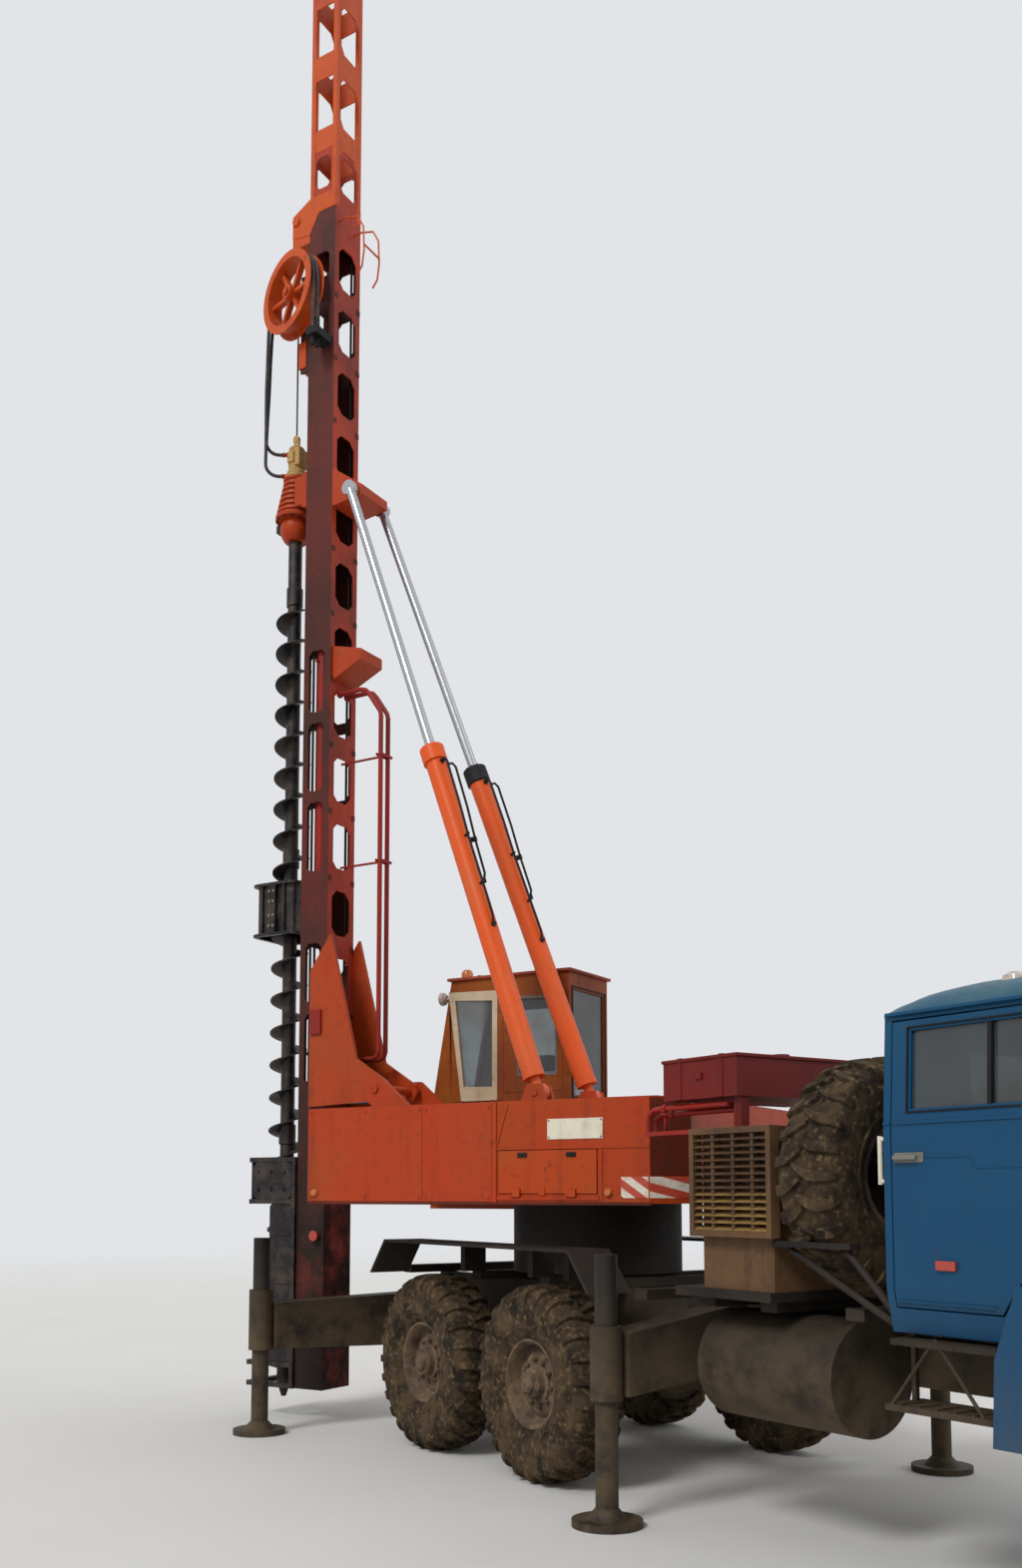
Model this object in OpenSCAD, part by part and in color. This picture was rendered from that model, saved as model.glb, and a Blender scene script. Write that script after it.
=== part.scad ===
// Pile driver rig: a drilling mast and its turning platform on a six-wheel truck.
// Millimetres. The truck's own frame has X forward from the middle axle, Y to the
// left and Z up from the ground. Platform pieces use a frame on the slew axis, with
// the mast at minus X, and place_platform() turns it to the pose of the photograph.

/* [Layout] */
// Middle axle to the row's origin, along the truck
origin_x = 1080; // [800:1400]
// Slew axis, behind the middle axle
slew_x = -800; // [-1000:-600]
// Slew angle of the stored pose, degrees
slew_deg = 26; // [20:32]
// Gap between moving pieces
gap = 6; // [5:10]
// Radial gap of a shaft in its bore
run_gap = 0.1; // [0.05:0.3]

/* [Truck frame] */
// Frame rail height
rail_h = 250; // [200:300]
// Top of the frame rails
rail_top = 1100; // [1050:1150]
// Outer width over both rails
rail_span = 880; // [800:920]
// Rail width
rail_w = 70; // [50:90]
// Rear end of the frame
frame_rear = -2500; // [-2600:-2400]
// Front face of the bumper
bumper_front = 5860; // [5780:5950]
// Bumper half width
bumper_y = 1200; // [1100:1250]

/* [Wheels] */
// Front axle, ahead of the middle axle
front_axle_x = 4555; // [4450:4650]
// Rear axle, behind the middle axle
rear_axle_x = -1400; // [-1450:-1380]
// Tyre outer diameter to the lugs' tips
tyre_d = 1260; // [1200:1300]
// Tyre width
tyre_w = 390; // [360:410]
// Wheel centre from the truck's centreline
track_y = 1000; // [980:1020]
// Rim seat diameter
rim_d = 520; // [490:540]
// Hub bore diameter
hub_d = 120; // [100:140]
// Kingpin from the centreline
kingpin_y = 745; // [720:760]
// Kingpin diameter
kingpin_d = 60; // [50:70]

/* [Truck cab] */
// Cab back wall
cab_back = 2950; // [2920:3000]
// Cab front wall at the firewall
cab_front = 4300; // [4250:4350]
// Cab floor height
cab_floor = 1200; // [1150:1250]
// Cab roof height
cab_roof = 2700; // [2650:2750]
// Belt line, where the sides start to lean in
cab_belt = 2120; // [2080:2160]
// Cab half width at the belt
cab_y = 1120; // [1100:1140]
// Cab half width at the roof
cab_roof_y = 1010; // [980:1060]
// Wall and door thickness
cab_wall = 40; // [30:45]
// Door back edge
door_back = 3000; // [2990:3020]
// Door front edge
door_front = 3930; // [3900:3960]
// Door bottom edge
door_low = 1320; // [1300:1340]
// Where the door's bottom edge turns up over the fender
door_toe = 3580; // [3560:3600]
// Door top edge
door_high = 2625; // [2600:2640]

/* [Platform] */
// Underside of the platform box
box_low = 1780; // [1760:1800]
// Top of the platform box
box_high = 2465; // [2440:2480]
// Mast end of the box
box_front = -1770; // [-1790:-1750]
// Far end of the box
box_back = 1190; // [1150:1220]
// Half width of the box
box_y = 1200; // [1180:1220]
// Corner chamfer at the far end
box_chamfer = 200; // [150:230]
// Joint between the deck half and the engine half
box_joint = -160; // [-200:-100]

/* [Operator cab] */
// Inner side wall
op_near = 555; // [545:570]
// Outer side wall
op_far = 1230; // [1200:1250]
// Back wall
op_back = -533; // [-560:-500]
// Front wall at the bottom
op_front_low = -1854; // [-1880:-1830]
// Front wall at the top
op_front_high = -1667; // [-1690:-1640]
// Floor underside
op_floor = 1800; // [1790:1820]
// Roof height
op_roof = 3640; // [3600:3680]
// Wall and door thickness
op_wall = 35; // [30:40]

/* [Mast] */
// Hinge pivot, along the platform
pivot_x = -1840; // [-1860:-1830]
// Hinge pivot height
pivot_z = 2680; // [2670:2700]
// Mast front face
mast_front = -2715; // [-2730:-2700]
// Mast rear face
mast_rear = -2430; // [-2450:-2420]
// Mast half width
mast_y = 180; // [170:185]
// Mast foot height
mast_low = 250; // [220:300]
// Height where the upper lattice starts
mast_mid = 10500; // [10400:10600]
// Mast top height
mast_top = 13300; // [13000:13400]
// Wall of the mast tube
mast_wall = 14; // [10:20]
// Window pitch in the lower mast
window_pitch = 575; // [560:590]
// Pitch of the plates in the upper lattice
lattice_pitch = 670; // [650:690]

/* [Drill] */
// Auger axis, along the platform
drill_x = -2980; // [-3000:-2970]
// Auger flight diameter
flight_d = 320; // [300:330]
// Auger tube diameter
stem_d = 120; // [100:130]
// Auger tip height
auger_low = 150; // [120:200]
// Flight pitch
flight_pitch = 280; // [260:300]
// Underside of the drive head
head_low = 7610; // [7590:7630]
// Top of the bell gearbox
head_mid = 8190; // [8170:8210]
// Top of the motor
head_high = 8500; // [8480:8520]
// Bore of the guides around the auger
guide_bore = 350; // [345:360]

/* [Hoses and pulley] */
// Hose wheel's outer radius
pulley_r = 360; // [340:380]
// Radius of the groove's floor
groove_r = 312; // [300:316]
// Width over the flanges
pulley_w = 150; // [130:160]
// Turn of the hose wheel's axle from the platform's Y, degrees
pulley_turn = -16; // [-20:-10]
// Hose radius
hose_r = 15; // [12:16]
// Plan angle of the hose ports on the motor
port_angle = 211; // [205:217]
// Outer end of the ports, from the drill's axis
port_end = 130; // [125:135]

/* [Cylinders] */
// Mast hinge pin diameter
hinge_pin_d = 70; // [60:90]
// Base pins, along the platform
base_x = -260; // [-280:-240]
// Base pin height
base_z = 2580; // [2570:2590]
// Base pins, from the centreline
base_y = 420; // [400:430]
// Rod eyes, along the platform
eye_x = -2200; // [-2210:-2190]
// Rod eye height
eye_z = 7800; // [7700:7850]
// Rod eyes, from the centreline
eye_y = 226; // [222:230]
// Barrel diameter
barrel_d = 165; // [150:170]
// Rod diameter
rod_d = 80; // [70:90]
// Barrel length from the base pin
barrel_len = 2960; // [2900:3000]

/* [Outriggers] */
// Front jacks, along the truck
jack_front_x = 1150; // [1130:1170]
// Front jacks, from the centreline
jack_front_y = 1400; // [1380:1420]
// Rear jacks, along the truck
jack_rear_x = -2700; // [-2720:-2680]
// Rear jacks, from the centreline
jack_rear_y = 1850; // [1830:1860]
// Jack leg diameter
jack_d = 130; // [110:140]
// Jack pad diameter
pad_d = 400; // [350:420]
// Top of the jack legs
jack_top = 1500; // [1450:1520]

/* [Hidden] */
$fn = 48;

hub_z = tyre_d / 2;
LEFT = 1;
RIGHT = -1;
// springs: inner and outer face, lower and upper face, half length of a front spring
spring_y = [300, 380];
spring_z = [hub_z + 60, hub_z + 150];
spring_half = 720;

// Helpers
// a box from its ranges along X, Y and Z
module box(x, y, z) translate([x[0], y[0], z[0]]) cube([x[1] - x[0], y[1] - y[0], z[1] - z[0]]);
// both signs of Y
module both() { children(); mirror([0, 1, 0]) children(); }
// an outline in X and Z, extruded between two Y
module side_plate(y0, y1, pts) translate([0, y1, 0]) rotate([90, 0, 0]) linear_extrude(y1 - y0)
  polygon(pts);
// an outline in Y and Z, extruded between two X
module cross_plate(x0, x1, pts) translate([x0, 0, 0]) rotate([90, 0, 90]) linear_extrude(x1 - x0)
  polygon(pts);
// children built along +Z, turned to run from a towards b
module along(a, b) {
  v = b - a;
  translate(a) rotate([0, acos(v[2] / norm(v)), atan2(v[1], v[0])]) children();
}
module bar(a, b, r) along(a, b) cylinder(h = norm(b - a), r = r);
// a cylinder along Y centred at p
module pin_y(p, r, len) translate(p) rotate([90, 0, 0]) cylinder(h = len, r = r, center = true);
module pin_x(p, r, len) translate(p) rotate([0, 90, 0]) cylinder(h = len, r = r, center = true);
module place_truck() translate([-origin_x, 0, 0]) children();
module place_platform() translate([slew_x - origin_x, 0, 0]) rotate([0, 0, slew_deg]) children();

// Wheels
// outline of half the tyre, radius against width, from the bead to the tread
module tyre_profile() {
  r = tyre_d / 2; w = tyre_w / 2; b = rim_d / 2;
  polygon([[b, -w + 70], [b + 60, -w + 18], [b + 170, -w], [r - 60, -w + 22], [r - 18, -w + 50],
    [r, -w + 90], [r, w - 90], [r - 18, w - 50], [r - 60, w - 22], [b + 170, w],
    [b + 60, w - 18], [b, w - 70]]);
}
// rim: barrel, dished disc and hub with its bore; outer face towards +Y
module rim_profile() {
  b = rim_d / 2; w = tyre_w / 2;
  polygon([[hub_d / 2 + run_gap, 40], [hub_d / 2 + run_gap, 150], [110, 150], [130, 110], [190, 90],
    [b - 25, 90], [b - 25, w - 60], [b + 12, w - 50], [b + 12, w - 75], [b, w - 75], [b, -w + 75],
    [b + 12, -w + 75], [b + 12, -w + 50], [b - 25, -w + 60], [b - 25, 65], [160, 65], [110, 40]]);
}
module wheel_solid() rotate([-90, 0, 0]) {
  color([0.16, 0.14, 0.12]) rotate_extrude() tyre_profile();
  color([0.33, 0.29, 0.25]) rotate_extrude() rim_profile();
}
module wheel(x, side) place_truck() translate([x, side * track_y, hub_z])
  mirror([0, side < 0 ? 1 : 0, 0]) wheel_solid();
module wheel_front_left() wheel(front_axle_x, LEFT);
module wheel_front_right() wheel(front_axle_x, RIGHT);
module wheel_middle_left() wheel(0, LEFT);
module wheel_middle_right() wheel(0, RIGHT);
module wheel_rear_left() wheel(rear_axle_x, LEFT);
module wheel_rear_right() wheel(rear_axle_x, RIGHT);

drum_d = 400;
stub_end = track_y + 140;
// axle casings, the springs on them and the rear wheels' stub shafts
module axles() color([0.1, 0.1, 0.1]) place_truck() {
  for (x = [0, rear_axle_x]) both() {
    pin_y([x, (track_y - 200) / 2, hub_z], 75, track_y - 200);
    pin_y([x, track_y - 200 - 60, hub_z], drum_d / 2, 120);
    pin_y([x, (stub_end + track_y - 230) / 2, hub_z], hub_d / 2, stub_end - track_y + 230);
  }
  for (x = [0, rear_axle_x, front_axle_x]) translate([x, 60, hub_z]) sphere(r = 190);
  both() {
    pin_y([front_axle_x, kingpin_y / 2, hub_z], 70, kingpin_y);
    translate([front_axle_x, kingpin_y, hub_z]) sphere(r = 100);
    translate([front_axle_x, kingpin_y, hub_z - 160]) cylinder(h = 320, r = kingpin_d / 2);
  }
  // beams that join the rear axles, and the front springs, from end to end
  for (x = [[rear_axle_x - 50, 50], [front_axle_x - spring_half, front_axle_x + spring_half]])
    both() box(x, spring_y, spring_z);
}
// steered knuckle: yoke, brake drum and stub shaft
module knuckle(side) color([0.12, 0.12, 0.12]) place_truck() mirror([0, side < 0 ? 1 : 0, 0]) {
  translate([front_axle_x, kingpin_y + 110, hub_z]) rotate([-90, 0, 0]) cylinder(h = 60, r = drum_d / 2);
  pin_y([front_axle_x, (stub_end + kingpin_y + 120) / 2, hub_z], hub_d / 2, stub_end - kingpin_y - 120);
  for (z = [hub_z - 150, hub_z + 110]) difference() {
    box([front_axle_x - 45, front_axle_x + 45], [kingpin_y - 50, kingpin_y + 115], [z, z + 40]);
    translate([front_axle_x, kingpin_y, z - 1]) cylinder(h = 42, r = kingpin_d / 2 + run_gap);
  }
  box([front_axle_x - 240, front_axle_x - 40], [kingpin_y - 20, kingpin_y + 50],
    [hub_z - 150, hub_z - 110]);
}
module knuckle_left() knuckle(LEFT);
module knuckle_right() knuckle(RIGHT);

// Chassis
spare_at = [2420, -550, 1930];
spare_post_x = 2665;
module chassis_frame() color([0.08, 0.08, 0.08]) place_truck() {
  both() box([frame_rear, bumper_front - 120], [rail_span / 2 - rail_w, rail_span / 2],
    [rail_top - rail_h, rail_top]);
  for (x = [frame_rear, -1450, -100, 900, 2100, 3300, 4460, 5150, bumper_front - 320])
    box([x, x + 100], [-rail_span / 2 + 10, rail_span / 2 - 10], [rail_top - rail_h + 30, rail_top - 30]);
  for (x = cab_mounts) both()
    box([x, x + 100], [rail_span / 2 - rail_w, rail_span / 2], [rail_top, cab_floor]);
  // hangers of the springs
  for (x = [rear_axle_x / 2 - 90, front_axle_x - spring_half, front_axle_x + spring_half - 180])
    both() box([x, x + 180], [spring_y[0], rail_span / 2], [spring_z[1], rail_top - rail_h + 20]);
}
cab_mounts = [2960, 3800];
module bumper() color([0.2, 0.2, 0.2]) place_truck() difference() {
  union() {
    box([bumper_front - 120, bumper_front], [-bumper_y, bumper_y], [760, 1020]);
    both() box([bumper_front - 20, bumper_front + 90], [380, 470], [800, 830]);
    both() box([bumper_front - 20, bumper_front + 90], [380, 470], [900, 930]);
  }
  both() translate([bumper_front + 50, 425, 780]) cylinder(h = 180, r = 20);
}
module fuel_tank() color([0.13, 0.11, 0.1]) place_truck() difference() {
  translate([2000, -730, 905]) rotate([0, 90, 0]) cylinder(h = 1000, r = 300, center = true);
  box([1400, 2600], [-rail_span / 2, 0], [600, 1300]);
}
module engine_block() color([0.2, 0.2, 0.2]) place_truck()
  box([4380, 5350], [-330, 330], [rail_top - 30, cab_belt - 470]);
module steps() color([0.1, 0.1, 0.1]) place_truck() both() {
  box([2960, 3560], [900, 1160], [850, 880]);
  box([3000, 3580], [960, 1160], [1150, 1180]);
  for (x = [2970, 3530]) box([x, x + 25], [960, 985], [850, 1200]);
}
module deck_frame() color([0.1, 0.1, 0.1]) place_truck() {
  both() box([-2350, 2700], [360, 440], [rail_top, rail_top + 120]);
  for (x = [-2350, -1300, -420, 0]) box([x, x + 120], [-780, 780], [rail_top + 120, rail_top + 180]);
  for (x = [900, 1500, 1980, 2580]) box([x, x + 120], [-1000, 1000], [rail_top + 120, rail_top + 180]);
  box([1400, 2160], [-1100, 1100], [rail_top + 180, rail_top + 230]);
  // strut that carries the spare wheel
  bar([spare_post_x, spare_at[1], rail_top + 170], [spare_post_x, spare_at[1], spare_at[2] + 60], 35);
  translate([spare_at[0] - 170, spare_at[1], spare_at[2]]) rotate([0, 90, 0])
    cylinder(h = spare_post_x - spare_at[0] + 170, r = hub_d / 2);
}
module mudguards() color([0.13, 0.12, 0.11]) place_truck() both() {
  side_plate(880, 1200, [[-2130, 1240], [-1900, 1500], [500, 1500], [720, 1240], [690, 1240],
    [485, 1480], [-1885, 1480], [-2095, 1240]]);
  for (x = [-1270, -390, 30]) box([x, x + 60], [720, 900], [rail_top + 180, 1485]);
}

// Truck cab
// cab outline from the side and from the back, drawn in by t
module cab_solid(t) intersection() {
  side_plate(-1300, 1300, [[cab_back + t, cab_floor + t], [cab_back + t, cab_roof - t],
    [cab_front - 330 - t, cab_roof - t],
    [cab_front - 30 - t, cab_belt - 40], [cab_front - t, cab_belt - 140],
      [cab_front - t, cab_floor + 330 + 0.4 * t], [cab_front - 330 - 0.4 * t, cab_floor + t]]);
  cross_plate(cab_back - 100, cab_front + 100, [for (s = [1, -1], p = s > 0
    ? [[cab_y - 40 - t, cab_floor + t], [cab_y - t, cab_floor + 200], [cab_y - t, cab_belt],
      [cab_roof_y - t, cab_roof - t - 30], [cab_roof_y - 60 - t, cab_roof - t]]
    : [[cab_roof_y - 60 - t, cab_roof - t], [cab_roof_y - t, cab_roof - t - 30], [cab_y - t, cab_belt],
      [cab_y - t, cab_floor + 200], [cab_y - 40 - t, cab_floor + t]])
    [s * p[0], p[1]]]);
}
module cab_skin() difference() { cab_solid(0); cab_solid(cab_wall); }
// door outline with a margin g, from y0 outwards
module door_prism(g) side_plate(cab_roof_y - 150, 1400,
  [[door_back - g, door_low - g], [door_toe + g, door_low - g],
  [door_toe + 140 + g, door_low + 180 - g], [door_front + g, door_low + 195 - g],
    [door_front + g, door_high + g], [door_back - g, door_high + g]]);
// hinge: an upright pin at [x, y], its leaves to both sides of x; moving is true for the door's half
hinge_heights = [cab_floor + 420, cab_belt - 80];
module upright_hinge(x, y, wall_y, z, side, moving) {
  s = moving ? -side : side;
  difference() {
    union() {
      translate([min(x, x + s * 45), wall_y - 2, z + (moving ? 0 : 30)]) cube([45, y - wall_y + 4, 26]);
      translate([x, y, z + (moving ? 0 : 30)]) cylinder(h = 26, r = 10);
    }
    if (moving) translate([x, y, z - 1]) cylinder(h = 30, r = 5 + run_gap);
  }
  if (!moving) translate([x, y, z]) cylinder(h = 40, r = 5);
}
module door_window(g) side_plate(cab_roof_y - 200, 1400,
  [[3085 + g, cab_belt + 80 + g], [3085 + g, cab_roof - 110 - g], [3560 - g, cab_roof - 110 - g],
    [3850 - g, cab_belt + 80 + g]]);
module truck_cab() color([0.08, 0.36, 0.55]) place_truck() {
  truck_cab_shell();
  both() for (z = hinge_heights) upright_hinge(door_front + gap / 2, cab_y + 12, cab_y, z, 1, false);
  // bonnet hinges
  both() {
    box([cab_front, cab_front + 24], [380, 395], [bonnet_hinge_z - 8, bonnet_hinge_z + 8]);
    pin_y([cab_front + 20, 425, bonnet_hinge_z], 6, 80);
  }
}
bonnet_hinge_z = cab_belt - 148;
module truck_cab_shell() difference() {
  cab_skin();
  both() door_prism(gap);
  // windscreen and back window
  for (s = [-1, 1]) translate([0, s * 470, 0])
    box([cab_front - 500, cab_front + 50], [-420, 420], [cab_belt + 40, cab_roof - 130]);
  box([cab_back - 50, cab_back + 60], [-520, 520], [cab_belt + 60, cab_roof - 180]);
}
module door(side) color([0.08, 0.36, 0.55]) place_truck() mirror([0, side < 0 ? 1 : 0, 0]) {
  difference() {
    intersection() { cab_skin(); door_prism(0); }
    door_window(0);
  }
  for (z = hinge_heights) upright_hinge(door_front + gap / 2, cab_y + 12, cab_y, z, 1, true);
}
module door_left() door(LEFT);
module door_right() door(RIGHT);
module cab_glass() color([0.5, 0.6, 0.65, 0.4]) place_truck() {
  box([cab_back + 15, cab_back + 21], [-520, 520], [cab_belt + 60, cab_roof - 180]);
  intersection() {
    difference() { cab_solid(12); cab_solid(18); }
    for (s = [-1, 1]) translate([0, s * 470, 0])
      box([cab_front - 400, cab_front + 50], [-420, 420], [cab_belt + 40, cab_roof - 130]);
  }
}
module cab_interior() color([0.1, 0.1, 0.1]) place_truck() {
  box([cab_back + cab_wall, cab_back + 160], [-800, 800], [1640, 2150]);
  box([cab_back + cab_wall, cab_back + 620], [-800, 800], [1520, 1640]);
  box([cab_back + cab_wall, cab_back + 500], [-700, 700], [cab_floor + cab_wall, cab_floor + 320]);
  box([cab_front - 260, cab_front - cab_wall], [-1000, 1000], [cab_belt - 370, cab_belt - 150]);
  translate([cab_front - 420, 480, cab_belt - 220]) rotate([0, -60, 0]) {
    rotate_extrude() translate([210, 0]) circle(r = 16);
    for (a = [0:120:240]) rotate([0, 90, a]) cylinder(h = 205, r = 10);
  }
  bar([cab_front - 420, 480, cab_belt - 220], [cab_front - 240, 480, cab_belt - 320], 20);
}
// The wings and the bonnet meet at this height.
wing_top = cab_floor + 300;
module fenders() color([0.08, 0.36, 0.55]) place_truck() {
  box([5570, 5610], [-560, 560], [rail_top + 5, wing_top - 10]);
  difference() { both() fender(); cab_solid(0); }
}
module fender() difference() {
  side_plate(540, 1250, [[3620, 760], [3640, 1150], [3760, wing_top - 40], [5100, wing_top],
    [5560, wing_top - 100], [5620, 1150], [5480, 760]]);
  side_plate(500, 1215, [[3660, 760], [3680, 1150], [3790, wing_top - 75], [5090, wing_top - 35],
    [5525, wing_top - 130], [5580, 1150], [5440, 760]]);
  pin_y([front_axle_x, 1100, hub_z], 810, 700);
  box([3500, 5600], [400, 1300], [500, 780]);
}

module bonnet() color([0.08, 0.36, 0.55]) place_truck() {
  bonnet_shell();
  both() difference() {
    union() {
      pin_y([cab_front + 20, 430, bonnet_hinge_z], 13, 50);
      box([cab_front + 12, cab_front + 28], [405, 455], [bonnet_hinge_z - 27, bonnet_hinge_z]);
    }
    pin_y([cab_front + 20, 430, bonnet_hinge_z], 6 + run_gap, 60);
  }
}
module bonnet_shell() difference() {
  side_plate(-530, 530, [[cab_front + gap, wing_top], [cab_front + gap, cab_belt - 160],
    [5560, cab_belt - 270], [5640, wing_top]]);
  side_plate(-500, 500, [[cab_front - 10, wing_top - 100], [cab_front - 10, cab_belt - 190],
    [5530, cab_belt - 300], [5605, wing_top - 100]]);
}

// Deck equipment
module power_unit() color([0.55, 0.2, 0.1]) place_truck() {
  box([1600, 2150], [-1060, 200], [rail_top + 230, 2200]);
  box([1650, 2150], [300, 900], [rail_top + 230, 1900]);
}
module radiator_guard() color([0.62, 0.55, 0.35]) place_truck() {
  for (x = [1560, 2165]) box([x, x + 35], [-1130, -1060], [1610, 2200]);
  for (z = [1610, 2165]) box([1560, 2200], [-1130, -1060], [z, z + 35]);
  for (i = [1:12]) box([1590, 2170], [-1120, -1060], [1620 + i * 43, 1636 + i * 43]);
}
module tank_box() color([0.4, 0.05, 0.04]) place_truck() {
  box([1070, 1710], [-900, 100], [2390, 2620]);
  for (y = [-860, 20]) box([1640, 1700], [y, y + 60], [2200, 2395]);
}
module spare_wheel() place_truck() translate(spare_at) rotate([0, 0, 90]) wheel_solid();
module slew_ring() color([0.15, 0.12, 0.1]) translate([slew_x - origin_x, 0, 0]) {
  translate([0, 0, rail_top + 180]) cylinder(h = box_low - rail_top - 180 - gap, r = 620);
  translate([0, 0, box_low - 20]) cylinder(h = 70, r = slew_pin_d / 2);
}
slew_pin_d = 240;

// Outriggers
module jack_sleeve(x, y, z0, z1) difference() {
  translate([x, y, z0]) cylinder(h = z1 - z0, r = jack_d / 2 + 28);
  translate([x, y, z0 - 1]) cylinder(h = z1 - z0 + 2, r = jack_d / 2 + run_gap);
}
module outrigger_front() color([0.07, 0.07, 0.07]) place_truck() both() {
  cross_plate(jack_front_x - 110, jack_front_x + 110,
    [[rail_span / 2, 820], [rail_span / 2, 1200], [jack_front_y - 80, 1060], [jack_front_y - 80, 710]]);
  jack_sleeve(jack_front_x, jack_front_y, 690, 1100);
}
module outrigger_rear() color([0.07, 0.07, 0.07]) place_truck() both() {
  cross_plate(jack_rear_x - 90, jack_rear_x + 110,
    [[0, 600], [0, 1050], [jack_rear_y - 80, 1000], [jack_rear_y - 80, 650]]);
  jack_sleeve(jack_rear_x, jack_rear_y, 640, 1100);
  box([jack_rear_x + 100, frame_rear], [rail_span / 2 - rail_w, rail_span / 2], [700, rail_top]);
}
module jack(x, y) color([0.06, 0.06, 0.06]) place_truck() translate([x, y, 0]) {
  cylinder(h = jack_top, r = jack_d / 2);
  cylinder(h = 40, r = pad_d / 2);
  translate([0, 0, 40]) cylinder(h = 60, r1 = 120, r2 = jack_d / 2);
}
module jack_front_left() jack(jack_front_x, jack_front_y);
module jack_front_right() jack(jack_front_x, -jack_front_y);
module jack_rear_left() jack(jack_rear_x, jack_rear_y);
module jack_rear_right() jack(jack_rear_x, -jack_rear_y);

// Platform
hatch_x = [-125, 615];
hatch_z = [1845, 2130];
hatch_hinges = [20, 440];
hatch_pin_z = 1828;
module platform_deck() color([0.75, 0.16, 0.07]) place_platform() {
  box([box_front, box_joint], [-box_y, op_near - 20], [box_low, box_high]);
  box([op_front_low + 20, op_back], [op_near - 60, box_y], [box_low - 60, op_floor]);
  box([op_back, box_joint], [op_near - 40, box_y], [box_low, box_high]);
  // cylinder brackets
  both() for (s = [-1, 1]) side_plate(base_y + s * 58 - 12, base_y + s * 58 + 12,
    [[base_x - 140, box_high], [base_x - 60, base_z + 60], [base_x + 60, base_z + 60],
      [base_x + 110, box_high]]);
  both() pin_y([base_x, base_y, base_z], 30, 160);
  // mast hinge ears
  both() side_plate(255, 295,
    [[pivot_x - 90, pivot_z - 90], [pivot_x - 90, pivot_z + 60], [pivot_x - 50, pivot_z + 90],
      [pivot_x + 60, pivot_z + 90],
    [pivot_x + 420, box_high - 5], [box_front - 5, box_high - 5], [box_front - 5, pivot_z - 200]]);
  pin_y([pivot_x, 0, pivot_z], hinge_pin_d / 2, 620);
}
module engine_housing() color([0.78, 0.22, 0.07]) place_platform() difference() {
  union() {
    translate([0, 0, box_low]) linear_extrude(box_high - box_low)
      polygon([[box_joint, -box_y], [box_back - box_chamfer, -box_y],
      [box_back, -box_y + box_chamfer], [box_back, box_y - box_chamfer],
        [box_back - box_chamfer, box_y], [box_joint, box_y]]);
    // hatch hinge pins
    for (x = hatch_hinges) {
      box([x - 45, x - 33], [-box_y - 22, -box_y], [hatch_pin_z - 9, hatch_pin_z + 9]);
      translate([x - 40, -box_y - 14, hatch_pin_z]) rotate([0, 90, 0]) cylinder(h = 70, r = 5);
    }
  }
  translate([0, 0, box_low - 1]) cylinder(h = 61, r = slew_pin_d / 2 + run_gap);
  box([hatch_x[0] - gap, hatch_x[1] + gap], [-box_y - 10, -box_y + 30],
    [hatch_z[0] - gap, hatch_z[1] + gap]);
}
module hatch() color([0.78, 0.25, 0.08]) place_platform() {
  box(hatch_x, [-box_y - 6, -box_y + 20], hatch_z);
  for (x = hatch_hinges) difference() {
    union() {
      translate([x - 30, -box_y - 14, hatch_pin_z]) rotate([0, 90, 0]) cylinder(h = 56, r = 10);
      box([x - 30, x + 26], [-box_y - 22, -box_y - 6], [hatch_pin_z, hatch_z[0] + 30]);
    }
    translate([x - 50, -box_y - 14, hatch_pin_z]) rotate([0, 90, 0]) cylinder(h = 100, r = 5 + run_gap);
  }
}

// Operator cab
module op_solid(t) side_plate(op_near + t, op_far - t,
  [[op_front_low + t, op_floor + t], [op_front_low + t, 2610],
  [op_front_high + t, op_roof - t], [op_back - t, op_roof - t], [op_back - t, op_floor + t]]);
module op_door_prism(g) box([-1560 - g, -640 + g], [op_far - 100, op_far + 50],
  [op_floor + 80 - g, op_roof - 90 + g]);
op_hinges = [2100, 3200];
module operator_cab() color([0.5, 0.28, 0.1]) place_platform() {
  operator_shell();
  for (z = op_hinges) upright_hinge(-640 + gap / 2, op_far + 12, op_far, z, 1, false);
}
module operator_shell() difference() {
  op_solid(0);
  op_solid(op_wall);
  op_door_prism(gap);
  box([-1640, -1180], [op_near - 50, op_near + 100], [2640, 3540]);
  box([-1110, -620], [op_near - 50, op_near + 100], [2700, 3500]);
  box([op_back - 100, op_back + 50], [op_near + 70, op_far - 70], [2640, 3500]);
  box([op_front_low - 50, op_front_high + 100], [op_near + 70, op_far - 70], [2680, 3540]);
}
module operator_glass() color([0.6, 0.7, 0.75, 0.4]) place_platform() {
  box([-1640, -1180], [op_near + 12, op_near + 18], [2640, 3540]);
  box([-1110, -620], [op_near + 12, op_near + 18], [2700, 3500]);
  box([op_back - 20, op_back - 14], [op_near + 70, op_far - 70], [2640, 3500]);
}
module operator_door() color([0.5, 0.28, 0.1]) place_platform() {
  difference() {
    box([-1560, -640], [op_far - op_wall, op_far], [op_floor + 80, op_roof - 90]);
    box([-1480, -720], [op_far - 100, op_far + 50], [2600, 3450]);
  }
  for (z = op_hinges) upright_hinge(-640 + gap / 2, op_far + 12, op_far, z, 1, true);
}
module operator_seat() color([0.12, 0.12, 0.12]) place_platform() {
  box([-1250, -800], [680, 1110], [2300, 2400]);
  box([-880, -780], [680, 1110], [2400, 2980]);
  box([-1150, -900], [800, 1000], [op_floor + op_wall, 2300]);
  box([-1720, -1560], [700, 1100], [op_floor + op_wall, 2550]);
}

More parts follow.
